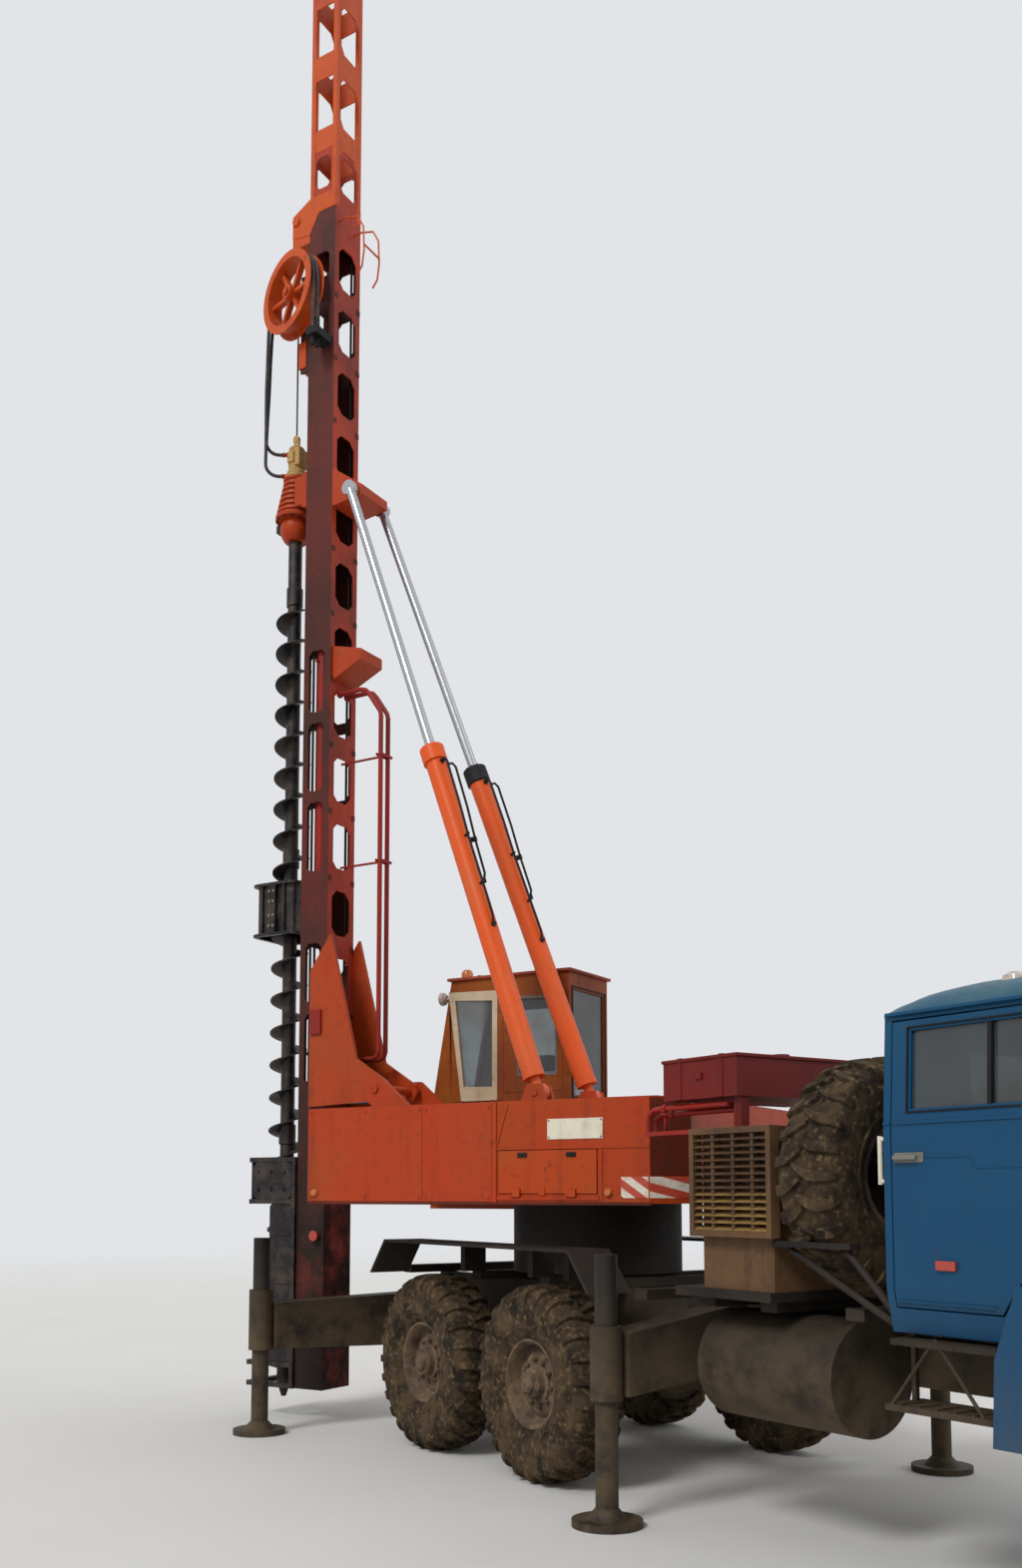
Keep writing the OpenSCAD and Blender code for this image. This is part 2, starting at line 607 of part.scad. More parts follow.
// Mast
mast_x = [mast_front, mast_rear];
// sill of the lowest window
window_low = 3440;
wheel_at = [-2840, -245, 9750];
pulley_axle_r = 25;
sheave_at = [-2865, 0, 10480];
rail_y = [110, 140];
module octagon_window(z) side_window(z, 380, 120);
module side_window(z, h, w)
  cross_plate(mast_rear - 60, mast_rear + 60,
    [[-w, z + 60], [-w, z + h - 60], [-w + 60, z + h], [w - 60, z + h], [w, z + h - 60], [w, z + 60],
    [w - 60, z], [-w + 60, z]]);
module mast_lower() color([0.62, 0.15, 0.07]) place_platform() {
  difference() {
    box(mast_x, [-mast_y, mast_y], [mast_low, mast_mid]);
    box([mast_front + mast_wall, mast_rear - mast_wall], [-mast_y + mast_wall, mast_y - mast_wall],
      [mast_low + 20, mast_mid - 20]);
    for (i = [0:11]) octagon_window(window_low + i * window_pitch);
  }
  // bracket and axle of the hose wheel
  box([wheel_at[0] - 60, mast_front + 10], [-130, -50], [wheel_at[2] - 60, wheel_at[2] + 60]);
  pulley_frame() translate([0, 0, -170]) cylinder(h = 170 + pulley_w / 2 + 10, r = pulley_axle_r);
  // block where the hoses enter the mast
  box([-2570, -2450], [-395, -mast_y + 10], [9200, hose_low - hose_seat]);
  // guide rails at the front face
  both() box([mast_front - 30, mast_front + 2], rail_y, [2200, mast_mid - 300]);
}
lattice_rows = floor((mast_top - mast_mid - 480) / lattice_pitch) + 1;
module mast_upper() color([0.86, 0.32, 0.06]) place_platform() {
  for (x = [mast_front, mast_rear - 45]) both()
    box([x, x + 45], [mast_y - 45, mast_y], [mast_mid, mast_top]);
  for (z = [for (i = [0:lattice_rows - 1]) mast_mid + 200 + i * lattice_pitch, mast_top - 140])
    difference() {
    box(mast_x, [-mast_y, mast_y], [z, z + 140]);
    box([mast_front + 45, mast_rear - 45], [-mast_y + 45, mast_y - 45], [mast_mid, mast_top + 10]);
  }
  pin_y(sheave_at, 25, 2 * mast_y);
  // crown bracket
  both() side_plate(mast_y - 60, mast_y,
    [[-2910, 10330], [-2910, 10540], [mast_front, 10640], [mast_rear, 10640], [mast_rear, mast_mid],
      [mast_front, mast_mid], [mast_front, 10300]]);
  box([-2910, mast_front], [-mast_y, mast_y], [10230, 10335]);
}
module mast_support() color([0.8, 0.24, 0.06]) place_platform() {
  difference() {
  both() side_plate(mast_y, mast_y + 32,
    [[mast_rear - 150, 2560], [mast_rear - 150, 3700], [mast_rear + 60, 4000],
      [pivot_x - 250, pivot_z + 260], [pivot_x + 60, pivot_z + 60], [pivot_x + 80, pivot_z],
      [pivot_x + 40, pivot_z - 80], [pivot_x - 60, pivot_z - 90]]);
  pin_y([pivot_x, 0, pivot_z], hinge_pin_d / 2 + run_gap, 600);
  }
  // rod bracket on the rear face
  side_plate(-mast_y, mast_y, [[mast_rear, 7730], [-2110, 7760], [-2110, 7840], [mast_rear, 8070]]);
  side_plate(-150, 150, [[mast_rear, 6200], [-2130, 6330], [-2130, 6420], [mast_rear, 6500]]);
}
module auger_guide() color([0.1, 0.08, 0.08]) place_platform() {
  for (z = [[1760, 1800], [2110, 2150], [420, 460], [250, 290]]) difference() {
    box([drill_x - 230, mast_front], [-210, 210], z);
    translate([drill_x, 0, z[0] - 1]) cylinder(h = 60, r = guide_bore / 2);
  }
  both() box([mast_front - 40, mast_front], [170, 210], [250, 2150]);
}
steady_z = [4040, 4500];
module steady_guide() color([0.08, 0.07, 0.07]) place_platform() difference() {
  union() {
    translate([drill_x, 0, steady_z[0]]) cylinder(h = steady_z[1] - steady_z[0], r = 250);
    box([drill_x, mast_front - 40], [-170, 170], steady_z);
    both() box([mast_front - 45, mast_front - 8], [rail_y[1] + 0.5, rail_y[1] + 30], steady_z);
  }
  translate([drill_x, 0, steady_z[0] - 1]) cylinder(h = 500, r = guide_bore / 2);
}
pipe_x = -1980;
pipe_z = [2950, 6100];
// bends of the pipes' middle line as [x, z], from the lower end to the upper one
pipe_route = [[mast_rear, pipe_z[0]], [pipe_x - 60, pipe_z[0]], [pipe_x - 15, pipe_z[0] + 15],
  [pipe_x, pipe_z[0] + 60],
  [pipe_x, pipe_z[1] - 260], [pipe_x - 10, pipe_z[1] - 220], [pipe_x - 120, pipe_z[1] - 60],
    [pipe_x - 160, pipe_z[1] - 15],
  [pipe_x - 210, pipe_z[1]], [mast_rear, pipe_z[1]]];
module feed_pipes() color([0.75, 0.1, 0.06]) place_platform()
  for (y = [-60, 40]) tube([for (q = pipe_route) [q[0], y, q[1]]], 20, 12);
// frame of the hose wheel: its axle is Z, with the open side at plus Z
module pulley_frame() translate(wheel_at) rotate([0, 0, pulley_turn]) rotate([90, 0, 0]) children();
module hose_wheel() color([0.85, 0.35, 0.08]) place_platform() pulley_frame() {
  w = pulley_w / 2;
  // rim with its groove, radius against width
  rotate_extrude() polygon([[pulley_r - 70, -w], [pulley_r, -w], [pulley_r, 12 - w], [groove_r, 16 - w],
    [groove_r, w - 16], [pulley_r, w - 12], [pulley_r, w], [pulley_r - 70, w]]);
  difference() {
    cylinder(h = pulley_w, r = 60, center = true);
    cylinder(h = pulley_w + 10, r = pulley_axle_r + run_gap, center = true);
  }
  for (i = [0:5]) rotate([0, 0, i * 60]) translate([45, -18, -25]) cube([pulley_r - 105, 36, 50]);
}
module crown_sheave() color([0.2, 0.15, 0.12]) place_platform() translate(sheave_at) rotate([90, 0, 0])
  difference() {
  cylinder(h = 60, r = 130, center = true);
  cylinder(h = 70, r = 25 + run_gap, center = true);
}

// Drive head
module drive_head() color([0.8, 0.25, 0.07]) place_platform() difference() {
  drive_head_solid();
  translate([drill_x, 0, head_low - 1]) cylinder(h = 101, r = 45 + run_gap);
}
module drive_head_solid() {
  translate([drill_x, 0, 0]) {
    translate([0, 0, head_low]) cylinder(h = 200, r1 = 90, r2 = 110);
    translate([0, 0, head_low + 190]) cylinder(h = 60, r = 180);
    translate([0, 0, head_low + 250]) cylinder(h = head_mid - head_low - 250, r1 = 150, r2 = 110);
  }
  box([drill_x, mast_front - 42], [-150, 150], [head_low + 250, head_mid - 60]);
  both() box([mast_front - 47, mast_front - 8], [rail_y[1] + 0.5, rail_y[1] + 30],
    [head_low + 200, head_mid - 60]);
}
module drive_motor() color([0.85, 0.8, 0.65]) place_platform() translate([drill_x, 0, head_mid]) {
  cylinder(h = 60, r = 85);
  cylinder(h = head_high - head_mid, r = 70);
  // ports of the hoses
  for (p = ports) translate([0, 0, p[0] - head_mid]) rotate([0, 0, port_angle]) translate([0, p[1], 0])
    rotate([0, 90, 0]) cylinder(h = port_end - hose_seat, r = 20);
}
module auger() color([0.12, 0.11, 0.12]) place_platform() translate([drill_x, 0, 0]) {
  translate([0, 0, auger_low]) cylinder(h = head_low - auger_low - gap, r = stem_d / 2);
  translate([0, 0, head_low - 20]) cylinder(h = 100, r = 45);
  for (i = [0:24]) translate([0, 0, auger_low + 60 + i * flight_pitch])
    cylinder(h = 20, r = flight_d / 2);
}

// Tilt cylinders
function cyl_base(s) = [base_x, s * base_y, base_z];
function cyl_eye(s) = [eye_x, s * eye_y, eye_z];
function cyl_len() = norm(cyl_eye(1) - cyl_base(1));
module cylinder_body(s) color([0.9, 0.33, 0.08]) place_platform() difference() {
  union() {
    along(cyl_base(s), cyl_eye(s)) {
      translate([0, 0, 115]) cylinder(h = barrel_len - 115, r = barrel_d / 2);
      cylinder(h = 120, r = 38);
      translate([0, 0, barrel_len - 120]) cylinder(h = 120, r = barrel_d / 2 + 14);
    }
    pin_y(cyl_base(s), 72, 80);
  }
  along(cyl_base(s), cyl_eye(s)) {
    translate([0, 0, 400]) cylinder(h = barrel_len - 460, r = rod_d / 2 + 5);
    translate([0, 0, barrel_len - 80]) cylinder(h = 100, r = rod_d / 2 + run_gap);
  }
  pin_y(cyl_base(s), 30 + run_gap, 90);
}
module rod_body(s) color([0.75, 0.75, 0.75]) place_platform() {
  along(cyl_base(s), cyl_eye(s)) translate([0, 0, cyl_len() - 3000]) cylinder(h = 2980, r = rod_d / 2);
  pin_y(cyl_eye(s), 62, 76);
}
module cylinder_left() cylinder_body(LEFT);
module cylinder_right() cylinder_body(RIGHT);
module rod_left() rod_body(LEFT);
module rod_right() rod_body(RIGHT);

// Hoses
// gap between a hose's end and its seat
hose_seat = 0.5;
hose_low = 9270;
// ports: height, and offset to the side
ports = [[8430, 0], [8215, 30]];
// routes of the hoses' middle lines, from the block over the wheel to the ports
route_upper = [[-2508, -315, hose_low], [-2508, -315, 9350], [-2508, -315, 9450], [-2508, -315, 9550],
  [-2508, -315, 9650], [-2508, -315, 9750], [-2520, -312, 9837], [-2552, -303, 9919],
  [-2604, -288, 9989], [-2671, -269, 10043], [-2749, -246, 10076], [-2833, -222, 10088],
  [-2917, -198, 10076], [-2996, -175, 10043], [-3063, -156, 9989], [-3115, -141, 9919],
  [-3147, -132, 9837], [-3158, -129, 9750], [-3161, -131, 9660], [-3170, -135, 9560],
  [-3176, -136, 9460], [-3180, -137, 9360], [-3185, -137, 9260], [-3188, -137, 9160],
  [-3192, -137, 9060], [-3196, -137, 8960], [-3201, -138, 8860], [-3206, -139, 8760],
  [-3210, -140, 8650], [-3214, -141, 8550],
  [-3209, -138, 8513], [-3194, -129, 8479], [-3172, -115, 8453],
  [-3143, -98, 8436], [-3111, -79, 8430], [-3091, -67, 8430]];
route_lower = [[-2522, -361, hose_low], [-2522, -361, 9350], [-2522, -361, 9450], [-2522, -361, 9550],
  [-2522, -361, 9650], [-2522, -361, 9750], [-2533, -358, 9837], [-2565, -349, 9919],
  [-2617, -334, 9989], [-2684, -315, 10043], [-2763, -292, 10076], [-2847, -268, 10088],
  [-2931, -244, 10076], [-3009, -221, 10043], [-3076, -202, 9989], [-3128, -187, 9919],
  [-3160, -178, 9837], [-3172, -175, 9750], [-3174, -176, 9660], [-3174, -179, 9560],
  [-3176, -181, 9460], [-3178, -182, 9360], [-3180, -183, 9260], [-3182, -183, 9160],
  [-3185, -184, 9060], [-3187, -183, 8960], [-3188, -181, 8860], [-3189, -179, 8760],
  [-3190, -176, 8660], [-3192, -173, 8560], [-3195, -169, 8450], [-3199, -166, 8335],
  [-3194, -163, 8298], [-3179, -155, 8264], [-3156, -141, 8238],
  [-3127, -124, 8221], [-3096, -105, 8215], [-3076, -93, 8215]];
// rings of points square to a route, and the tube that joins them
function unit(v) = v / norm(v);
function route_dir(p, i) = unit(p[min(i + 1, len(p) - 1)] - p[max(i - 1, 0)]);
function ring(p, i, r, n) = let (d = route_dir(p, i), u = unit(cross(d, [0.3, 1, 0])), v = cross(d, u))
  [for (k = [0:n - 1]) p[i] + r * (cos(360 * k / n) * u + sin(360 * k / n) * v)];
module tube(p, r, n) {
  m = len(p);
  polyhedron(points = [for (i = [0:m - 1]) each ring(p, i, r, n)],
    faces = [[for (k = [0:n - 1]) k], [for (k = [n - 1:-1:0]) (m - 1) * n + k],
      for (i = [0:m - 2], k = [0:n - 1]) each [[i * n + k, (i + 1) * n + k, (i + 1) * n + (k + 1) % n],
        [i * n + k, (i + 1) * n + (k + 1) % n, i * n + (k + 1) % n]]]);
}
module hose_upper() color([0.1, 0.1, 0.1]) place_platform() tube(route_upper, hose_r, 10);
module hose_lower() color([0.1, 0.1, 0.1]) place_platform() tube(route_lower, hose_r, 10);

chassis_frame();
bumper();
axles();
fuel_tank();
engine_block();
truck_cab();
cab_interior();
cab_glass();
fenders();
bonnet();
door_left();
door_right();
steps();
spare_wheel();
deck_frame();
power_unit();
radiator_guard();
tank_box();
mudguards();
outrigger_front();
outrigger_rear();
jack_front_left();
jack_front_right();
jack_rear_left();
jack_rear_right();
slew_ring();
knuckle_left();
knuckle_right();
wheel_front_left();
wheel_front_right();
wheel_middle_left();
wheel_middle_right();
wheel_rear_left();
wheel_rear_right();
platform_deck();
engine_housing();
hatch();
operator_cab();
operator_glass();
operator_door();
operator_seat();
mast_lower();
mast_upper();
mast_support();
auger_guide();
steady_guide();
feed_pipes();
hose_wheel();
crown_sheave();
drive_head();
drive_motor();
auger();
cylinder_left();
cylinder_right();
rod_left();
rod_right();
hose_upper();
hose_lower();
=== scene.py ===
"""Looks of a truck-mounted pile driver rig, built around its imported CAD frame. Metres throughout."""
import math
import random

import bmesh
import bpy
from mathutils import Matrix, Vector


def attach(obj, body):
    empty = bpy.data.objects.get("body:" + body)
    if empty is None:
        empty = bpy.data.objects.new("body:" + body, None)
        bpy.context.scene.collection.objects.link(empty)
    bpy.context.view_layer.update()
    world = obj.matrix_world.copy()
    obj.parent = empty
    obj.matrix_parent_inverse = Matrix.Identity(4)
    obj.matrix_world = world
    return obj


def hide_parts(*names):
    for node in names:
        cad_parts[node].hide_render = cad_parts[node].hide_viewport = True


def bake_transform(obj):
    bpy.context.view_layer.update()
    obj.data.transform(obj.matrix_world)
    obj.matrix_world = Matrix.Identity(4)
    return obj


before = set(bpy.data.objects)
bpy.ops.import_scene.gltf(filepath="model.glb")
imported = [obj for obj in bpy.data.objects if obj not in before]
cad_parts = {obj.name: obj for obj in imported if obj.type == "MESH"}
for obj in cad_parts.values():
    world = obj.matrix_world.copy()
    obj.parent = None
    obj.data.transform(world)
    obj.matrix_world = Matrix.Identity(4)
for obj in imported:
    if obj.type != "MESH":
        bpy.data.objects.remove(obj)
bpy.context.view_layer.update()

# The truck's frame has its origin on the ground under the middle axle. The platform's has its own on the
# slew axis and is turned with it, and the upright mast's is the same, taken to its hinge and back.
ORIGIN_X = 1.08
SLEW_X = -0.8
SLEW = math.radians(26)
TRUCK = Matrix.Translation((-ORIGIN_X, 0, 0))
PLATFORM = Matrix.Translation((SLEW_X - ORIGIN_X, 0, 0)) @ Matrix.Rotation(SLEW, 4, "Z")
HINGE = Vector((-1.84, 0, 2.68))
MAST = PLATFORM @ Matrix.Translation(HINGE) @ Matrix.Translation(-HINGE)
SIDES = ((1, "left"), (-1, "right"))

# how an outline's two numbers and a height along an axis make a point
AXES = {"X": lambda u, v, w: (w, u, v), "Y": lambda u, v, w: (u, w, v), "Z": lambda u, v, w: (u, v, w)}

# every material by its name
looks = {}


def turns(n, first=0.0):
    """The cosine and sine of n even angles, the first of them that many steps round."""
    return [(math.cos(t), math.sin(t)) for t in (2 * math.pi * (k + first) / n for k in range(n))]


class Shape:
    """The mesh of one piece of a body while it is made. Points go through the matrix at."""

    def __init__(self, at=Matrix.Identity(4), body=None):
        self.at = at
        self.body = body
        self.points = []
        self.faces = []

    def add(self, points, faces):
        base = len(self.points)
        flip = self.at.determinant() < 0
        self.points += [self.at @ Vector(p) for p in points]
        for f in faces:
            g = [base + i for i in f]
            self.faces.append(g[::-1] if flip else g)

    def box(self, low, high):
        (a, b, c), (d, e, f) = low, high
        points = [(x, y, z) for z in (c, f) for y in (b, e) for x in (a, d)]
        self.add(points, [(0, 2, 3, 1), (4, 5, 7, 6), (0, 1, 5, 4), (2, 6, 7, 3), (0, 4, 6, 2),
                          (1, 3, 7, 5)])

    def prism(self, outline, axis, a, b):
        """An outline in the two other axes, in their order, between a and b along axis."""
        put = AXES[axis]
        n = len(outline)
        area = sum(outline[i - 1][0] * p[1] - p[0] * outline[i - 1][1] for i, p in enumerate(outline))
        if (area < 0) != (axis == "Y"):
            outline = outline[::-1]
        a, b = min(a, b), max(a, b)
        points = [put(u, v, w) for w in (a, b) for u, v in outline]
        sides = [(i, (i + 1) % n, n + (i + 1) % n, n + i) for i in range(n)]
        self.add(points, [tuple(range(n))[::-1], tuple(range(n, 2 * n))] + sides)

    def rings(self, rings, closed=False):
        """Skin over rings with the same number of points, with caps unless closed."""
        n, m = len(rings[0]), len(rings)
        faces = []
        for i in range(m if closed else m - 1):
            j = (i + 1) % m
            faces += [(i * n + k, i * n + (k + 1) % n, j * n + (k + 1) % n, j * n + k) for k in range(n)]
        if not closed:
            faces += [tuple(range(n))[::-1], tuple(range((m - 1) * n, m * n))]
        self.add([p for r in rings for p in r], faces)

    def sweep(self, path, r, n=10):
        path = [Vector(p) for p in path]
        rings = []
        up = Vector((0.3, 1, 0.1))
        for i, p in enumerate(path):
            d = (path[min(i + 1, len(path) - 1)] - path[max(i - 1, 0)]).normalized()
            u = d.cross(up).normalized()
            v = d.cross(u)
            up = -v if i else up
            rings.append([p + r * (c * u + s * v) for c, s in turns(n)])
        self.rings(rings)

    def rod(self, a, b, r, n=12):
        a, b = Vector(a), Vector(b)
        d = (b - a).normalized()
        u = d.orthogonal().normalized()
        v = d.cross(u)
        self.rings([[p + r * (c * u + s * v) for c, s in turns(n)] for p in (a, b)])

    def lathe(self, profile, n=32, start=(0, 0, 0), axis="Z", closed=False):
        """Points of radius and height turned about an axis through start. Closed joins last to first."""
        x, y, z = start
        rings = []
        for c, s in turns(n):
            if axis == "Y":
                c, s = s, c
            ring = [AXES[axis](r * c, r * s, h) for r, h in profile]
            rings.append([(x + a, y + b, z + d) for a, b, d in ring])
        m = len(profile)
        faces = []
        for i in range(n):
            j = (i + 1) % n
            for k in range(m if closed else m - 1):
                q = (k + 1) % m
                faces.append((i * m + k, j * m + k, j * m + q, i * m + q))
        self.add([p for r in rings for p in r], faces)

    def ring_plate(self, outer, inner, axis, a, b):
        """A plate with a hole: two outlines with the same number of points, between a and b along axis."""
        put = AXES[axis]
        self.rings([[put(*p, a), put(*p, b), put(*q, b), put(*q, a)] for p, q in zip(outer, inner)],
                   closed=True)

    def bolts(self, n, radius, low, high, r, middle=(0, 0), axis="Z", first=0.5):
        """Six-sided bolts on a circle, from low to high along an axis."""
        for c, s in turns(n, first):
            u, v = middle[0] + radius * c, middle[1] + radius * s
            self.rod(AXES[axis](u, v, low), AXES[axis](u, v, high), r, 6)

    def mesh(self, name):
        mesh = bpy.data.meshes.new(name)
        mesh.from_pydata([tuple(p) for p in self.points], [], self.faces)
        bm = bmesh.new()
        bm.from_mesh(mesh)
        bmesh.ops.remove_doubles(bm, verts=bm.verts, dist=1e-5)
        bmesh.ops.recalc_face_normals(bm, faces=bm.faces)
        bm.to_mesh(mesh)
        bm.free()
        return mesh

    def make(self, name, look, slot, bevel=0.0, sharp=35, replaces=()):
        return piece(name, shaded(self.mesh(name), sharp), look, self.body, bevel, replaces)


def on_truck():
    return Shape(TRUCK, "chassis")


def on_platform():
    return Shape(PLATFORM, "platform")


def on_mast():
    return Shape(MAST, "mast")


def shaded(mesh, sharp=35):
    """Smooth faces, with edges sharp where they turn by more than an angle."""
    bm = bmesh.new()
    bm.from_mesh(mesh)
    limit = math.radians(sharp)
    for e in bm.edges:
        e.smooth = len(e.link_faces) == 2 and e.calc_face_angle(0) < limit
    for f in bm.faces:
        f.smooth = True
    bm.to_mesh(mesh)
    bm.free()
    return mesh


def carved(base, *cutters, within=None):
    """The mesh of a closed shape, kept inside one other closed shape and cut by more of them."""
    obj = bpy.data.objects.new("carved", base.mesh("carved"))
    bpy.context.scene.collection.objects.link(obj)
    steps = [("INTERSECT", within)] if within else []
    for operation, tool in steps + [("DIFFERENCE", cutter) for cutter in cutters]:
        other = bpy.data.objects.new("tool", tool.mesh("tool"))
        bpy.context.scene.collection.objects.link(other)
        cut = obj.modifiers.new("cut", "BOOLEAN")
        cut.operation = operation
        cut.solver = "EXACT"
        cut.object = other
        seen = obj.evaluated_get(bpy.context.evaluated_depsgraph_get())
        mesh = bpy.data.meshes.new_from_object(seen)
        obj.modifiers.clear()
        obj.data = mesh
        bpy.data.objects.remove(other)
    bpy.data.objects.remove(obj)
    return shaded(mesh)


def two_toned(mesh, first, second, test):
    """Give a mesh two materials, the second one on the faces that pass a test."""
    mesh.materials.clear()
    for look in (first, second):
        mesh.materials.append(looks[look])
    for face in mesh.polygons:
        face.material_index = int(test(face))


def piece(name, mesh, look, body, bevel=0.0, replaces=()):
    obj = bpy.data.objects.new(name, mesh)
    bpy.context.scene.collection.objects.link(obj)
    if not mesh.materials:
        mesh.materials.append(looks[look])
    mesh.name = name
    if bevel:
        m = obj.modifiers.new("edges", "BEVEL")
        m.width = bevel
        m.segments = 2
        m.limit_method = "ANGLE"
        m.angle_limit = math.radians(40)
        m.harden_normals = True
    if body:
        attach(obj, body)
    if replaces:
        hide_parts(*replaces)
    return obj


def lamps(s, name, look, slot, profile, places, axis, n=20):
    """Turned lamps at some places, with flat backs at the profile's last height."""
    for place in places:
        s.lathe(profile + [(0.0, profile[-1][1])], n, place, axis)
    s.make(name, look, slot)


def arc(cx, cy, r, a, b, n):
    """Points on a circle from angle a to b in degrees."""
    return [(cx + r * math.cos(math.radians(a + (b - a) * i / n)),
             cy + r * math.sin(math.radians(a + (b - a) * i / n))) for i in range(n + 1)]


def chamfered(u0, u1, v0, v1, c):
    """A rectangle with its corners cut by c."""
    return [(u0, v0 + c), (u0, v1 - c), (u0 + c, v1), (u1 - c, v1), (u1, v1 - c), (u1, v0 + c),
            (u1 - c, v0), (u0 + c, v0)]


def grown(outline, by):
    """The points of a convex outline moved away from its middle by an offset's size along both axes."""
    u = sum(p[0] for p in outline) / len(outline)
    v = sum(p[1] for p in outline) / len(outline)
    return [(a + math.copysign(by, a - u), b + math.copysign(by, b - v)) for a, b in outline]


def along(a, b):
    """A frame at a with its Z towards b and its Y kept level."""
    z = (Vector(b) - Vector(a)).normalized()
    y = z.cross(Vector((1, 0, 0))).normalized()
    x = y.cross(z)
    turn = Matrix((x, y, z)).transposed().to_4x4()
    return Matrix.Translation(a) @ turn


# Materials

class Nodes:
    """A material's node tree, with short makers for the nodes that the looks use."""

    def __init__(self, name):
        self.material = looks[name] = bpy.data.materials.new(name)
        self.material.use_nodes = True
        self.tree = self.material.node_tree
        self.shader = self.tree.nodes["Principled BSDF"]
        self.place = self.new("ShaderNodeTexCoord").outputs["Object"]

    def new(self, kind, **values):
        node = self.tree.nodes.new(kind)
        for key, value in values.items():
            setattr(node, key, value)
        return node

    def join(self, value, socket):
        if isinstance(value, bpy.types.NodeSocket):
            self.tree.links.new(value, socket)
        else:
            socket.default_value = value

    def stretched(self, scale):
        node = self.new("ShaderNodeMapping")
        self.join(self.place, node.inputs["Vector"])
        node.inputs["Scale"].default_value = scale
        return node.outputs["Vector"]

    def noise(self, scale, detail=4.0, rough=0.55, place=None):
        node = self.new("ShaderNodeTexNoise")
        self.join(place or self.place, node.inputs["Vector"])
        node.inputs["Scale"].default_value = scale
        node.inputs["Detail"].default_value = detail
        node.inputs["Roughness"].default_value = rough
        return node.outputs["Fac"]

    def range(self, value, low, high, to_low=0.0, to_high=1.0):
        node = self.new("ShaderNodeMapRange", interpolation_type="SMOOTHSTEP")
        self.join(value, node.inputs["Value"])
        for key, number in (("From Min", low), ("From Max", high), ("To Min", to_low),
                            ("To Max", to_high)):
            node.inputs[key].default_value = number
        return node.outputs["Result"]

    def math(self, operation, a, b):
        node = self.new("ShaderNodeMath", operation=operation)
        self.join(a, node.inputs[0])
        self.join(b, node.inputs[1])
        return node.outputs[0]

    def mix(self, factor, a, b):
        node = self.new("ShaderNodeMix", data_type="RGBA")
        self.join(factor, node.inputs[0])
        self.join(a, node.inputs[6])
        self.join(b, node.inputs[7])
        return node.outputs[2]

    def blend(self, factor, a, b):
        node = self.new("ShaderNodeMix", data_type="FLOAT")
        self.join(factor, node.inputs[0])
        self.join(a, node.inputs[2])
        self.join(b, node.inputs[3])
        return node.outputs[0]

    def bump(self, height, distance, strength=1.0, under=None):
        node = self.new("ShaderNodeBump")
        self.join(height, node.inputs["Height"])
        node.inputs["Distance"].default_value = distance
        node.inputs["Strength"].default_value = strength
        if under:
            self.join(under, node.inputs["Normal"])
        return node.outputs["Normal"]

    def height_above(self, low, high):
        split = self.new("ShaderNodeSeparateXYZ")
        self.join(self.place, split.inputs[0])
        return self.range(split.outputs["Z"], high, low)

    def done(self, **values):
        for key, value in values.items():
            self.join(value, self.shader.inputs[key.replace("_", " ")])


def rgb(r, g, b):
    """A colour given as 0 to 255 values of a screen, in the linear values that shaders take."""
    def linear(v):
        v /= 255
        return v / 12.92 if v <= 0.04045 else ((v + 0.055) / 1.055) ** 2.4
    return (linear(r), linear(g), linear(b), 1.0)


MUD = rgb(104, 88, 66)
SOOT = rgb(38, 30, 26)
RUST = rgb(96, 48, 26)


def paint(name, colour, faded, rough, grime, rust, streaks, mud=0.5, dents=0.006, foot=(0.3, 1.6),
          dirt=MUD):
    """Old enamel: fading in patches, dirt that runs down, rust spots and shallow dents."""
    n = Nodes(name)
    patches = n.range(n.noise(1.1, 5.0, 0.6), 0.35, 0.68)
    base = n.mix(patches, rgb(*colour), rgb(*faded))
    runs = n.noise(1.0, 6.0, 0.6, n.stretched((9.0, 9.0, 0.7)))
    base = n.mix(n.math("MULTIPLY", n.range(runs, 0.52, 0.8), streaks), base, SOOT)
    fine = n.noise(14.0, 8.0, 0.68)
    base = n.mix(n.math("MULTIPLY", n.range(fine, 0.5, 0.78), grime), base, SOOT)
    spots = n.range(n.noise(5.5, 9.0, 0.72), 0.6, 0.7)
    spots = n.math("MULTIPLY", spots, n.range(n.noise(1.7, 3.0), 0.42, 0.6))
    spots = n.math("MULTIPLY", spots, rust * 3)
    base = n.mix(spots, base, n.mix(n.noise(30.0, 4.0), RUST, rgb(58, 30, 20)))
    low = n.math("MULTIPLY", n.height_above(*foot), n.range(n.noise(3.5, 8.0, 0.7), 0.3, 0.6))
    low = n.math("MULTIPLY", low, mud)
    base = n.mix(low, base, dirt)
    worn = n.math("MAXIMUM", spots, low)
    bump = n.bump(n.noise(2.2, 3.0, 0.5), dents, 0.6)
    bump = n.bump(n.noise(70.0, 3.0, 0.6), 0.0007, 0.5, bump)
    bump = n.bump(worn, 0.0012, 0.6, bump)
    n.done(Base_Color=base, Roughness=n.blend(worn, n.blend(fine, rough - 0.1, rough + 0.18), 0.85),
           Specular_IOR_Level=0.22, Normal=bump)


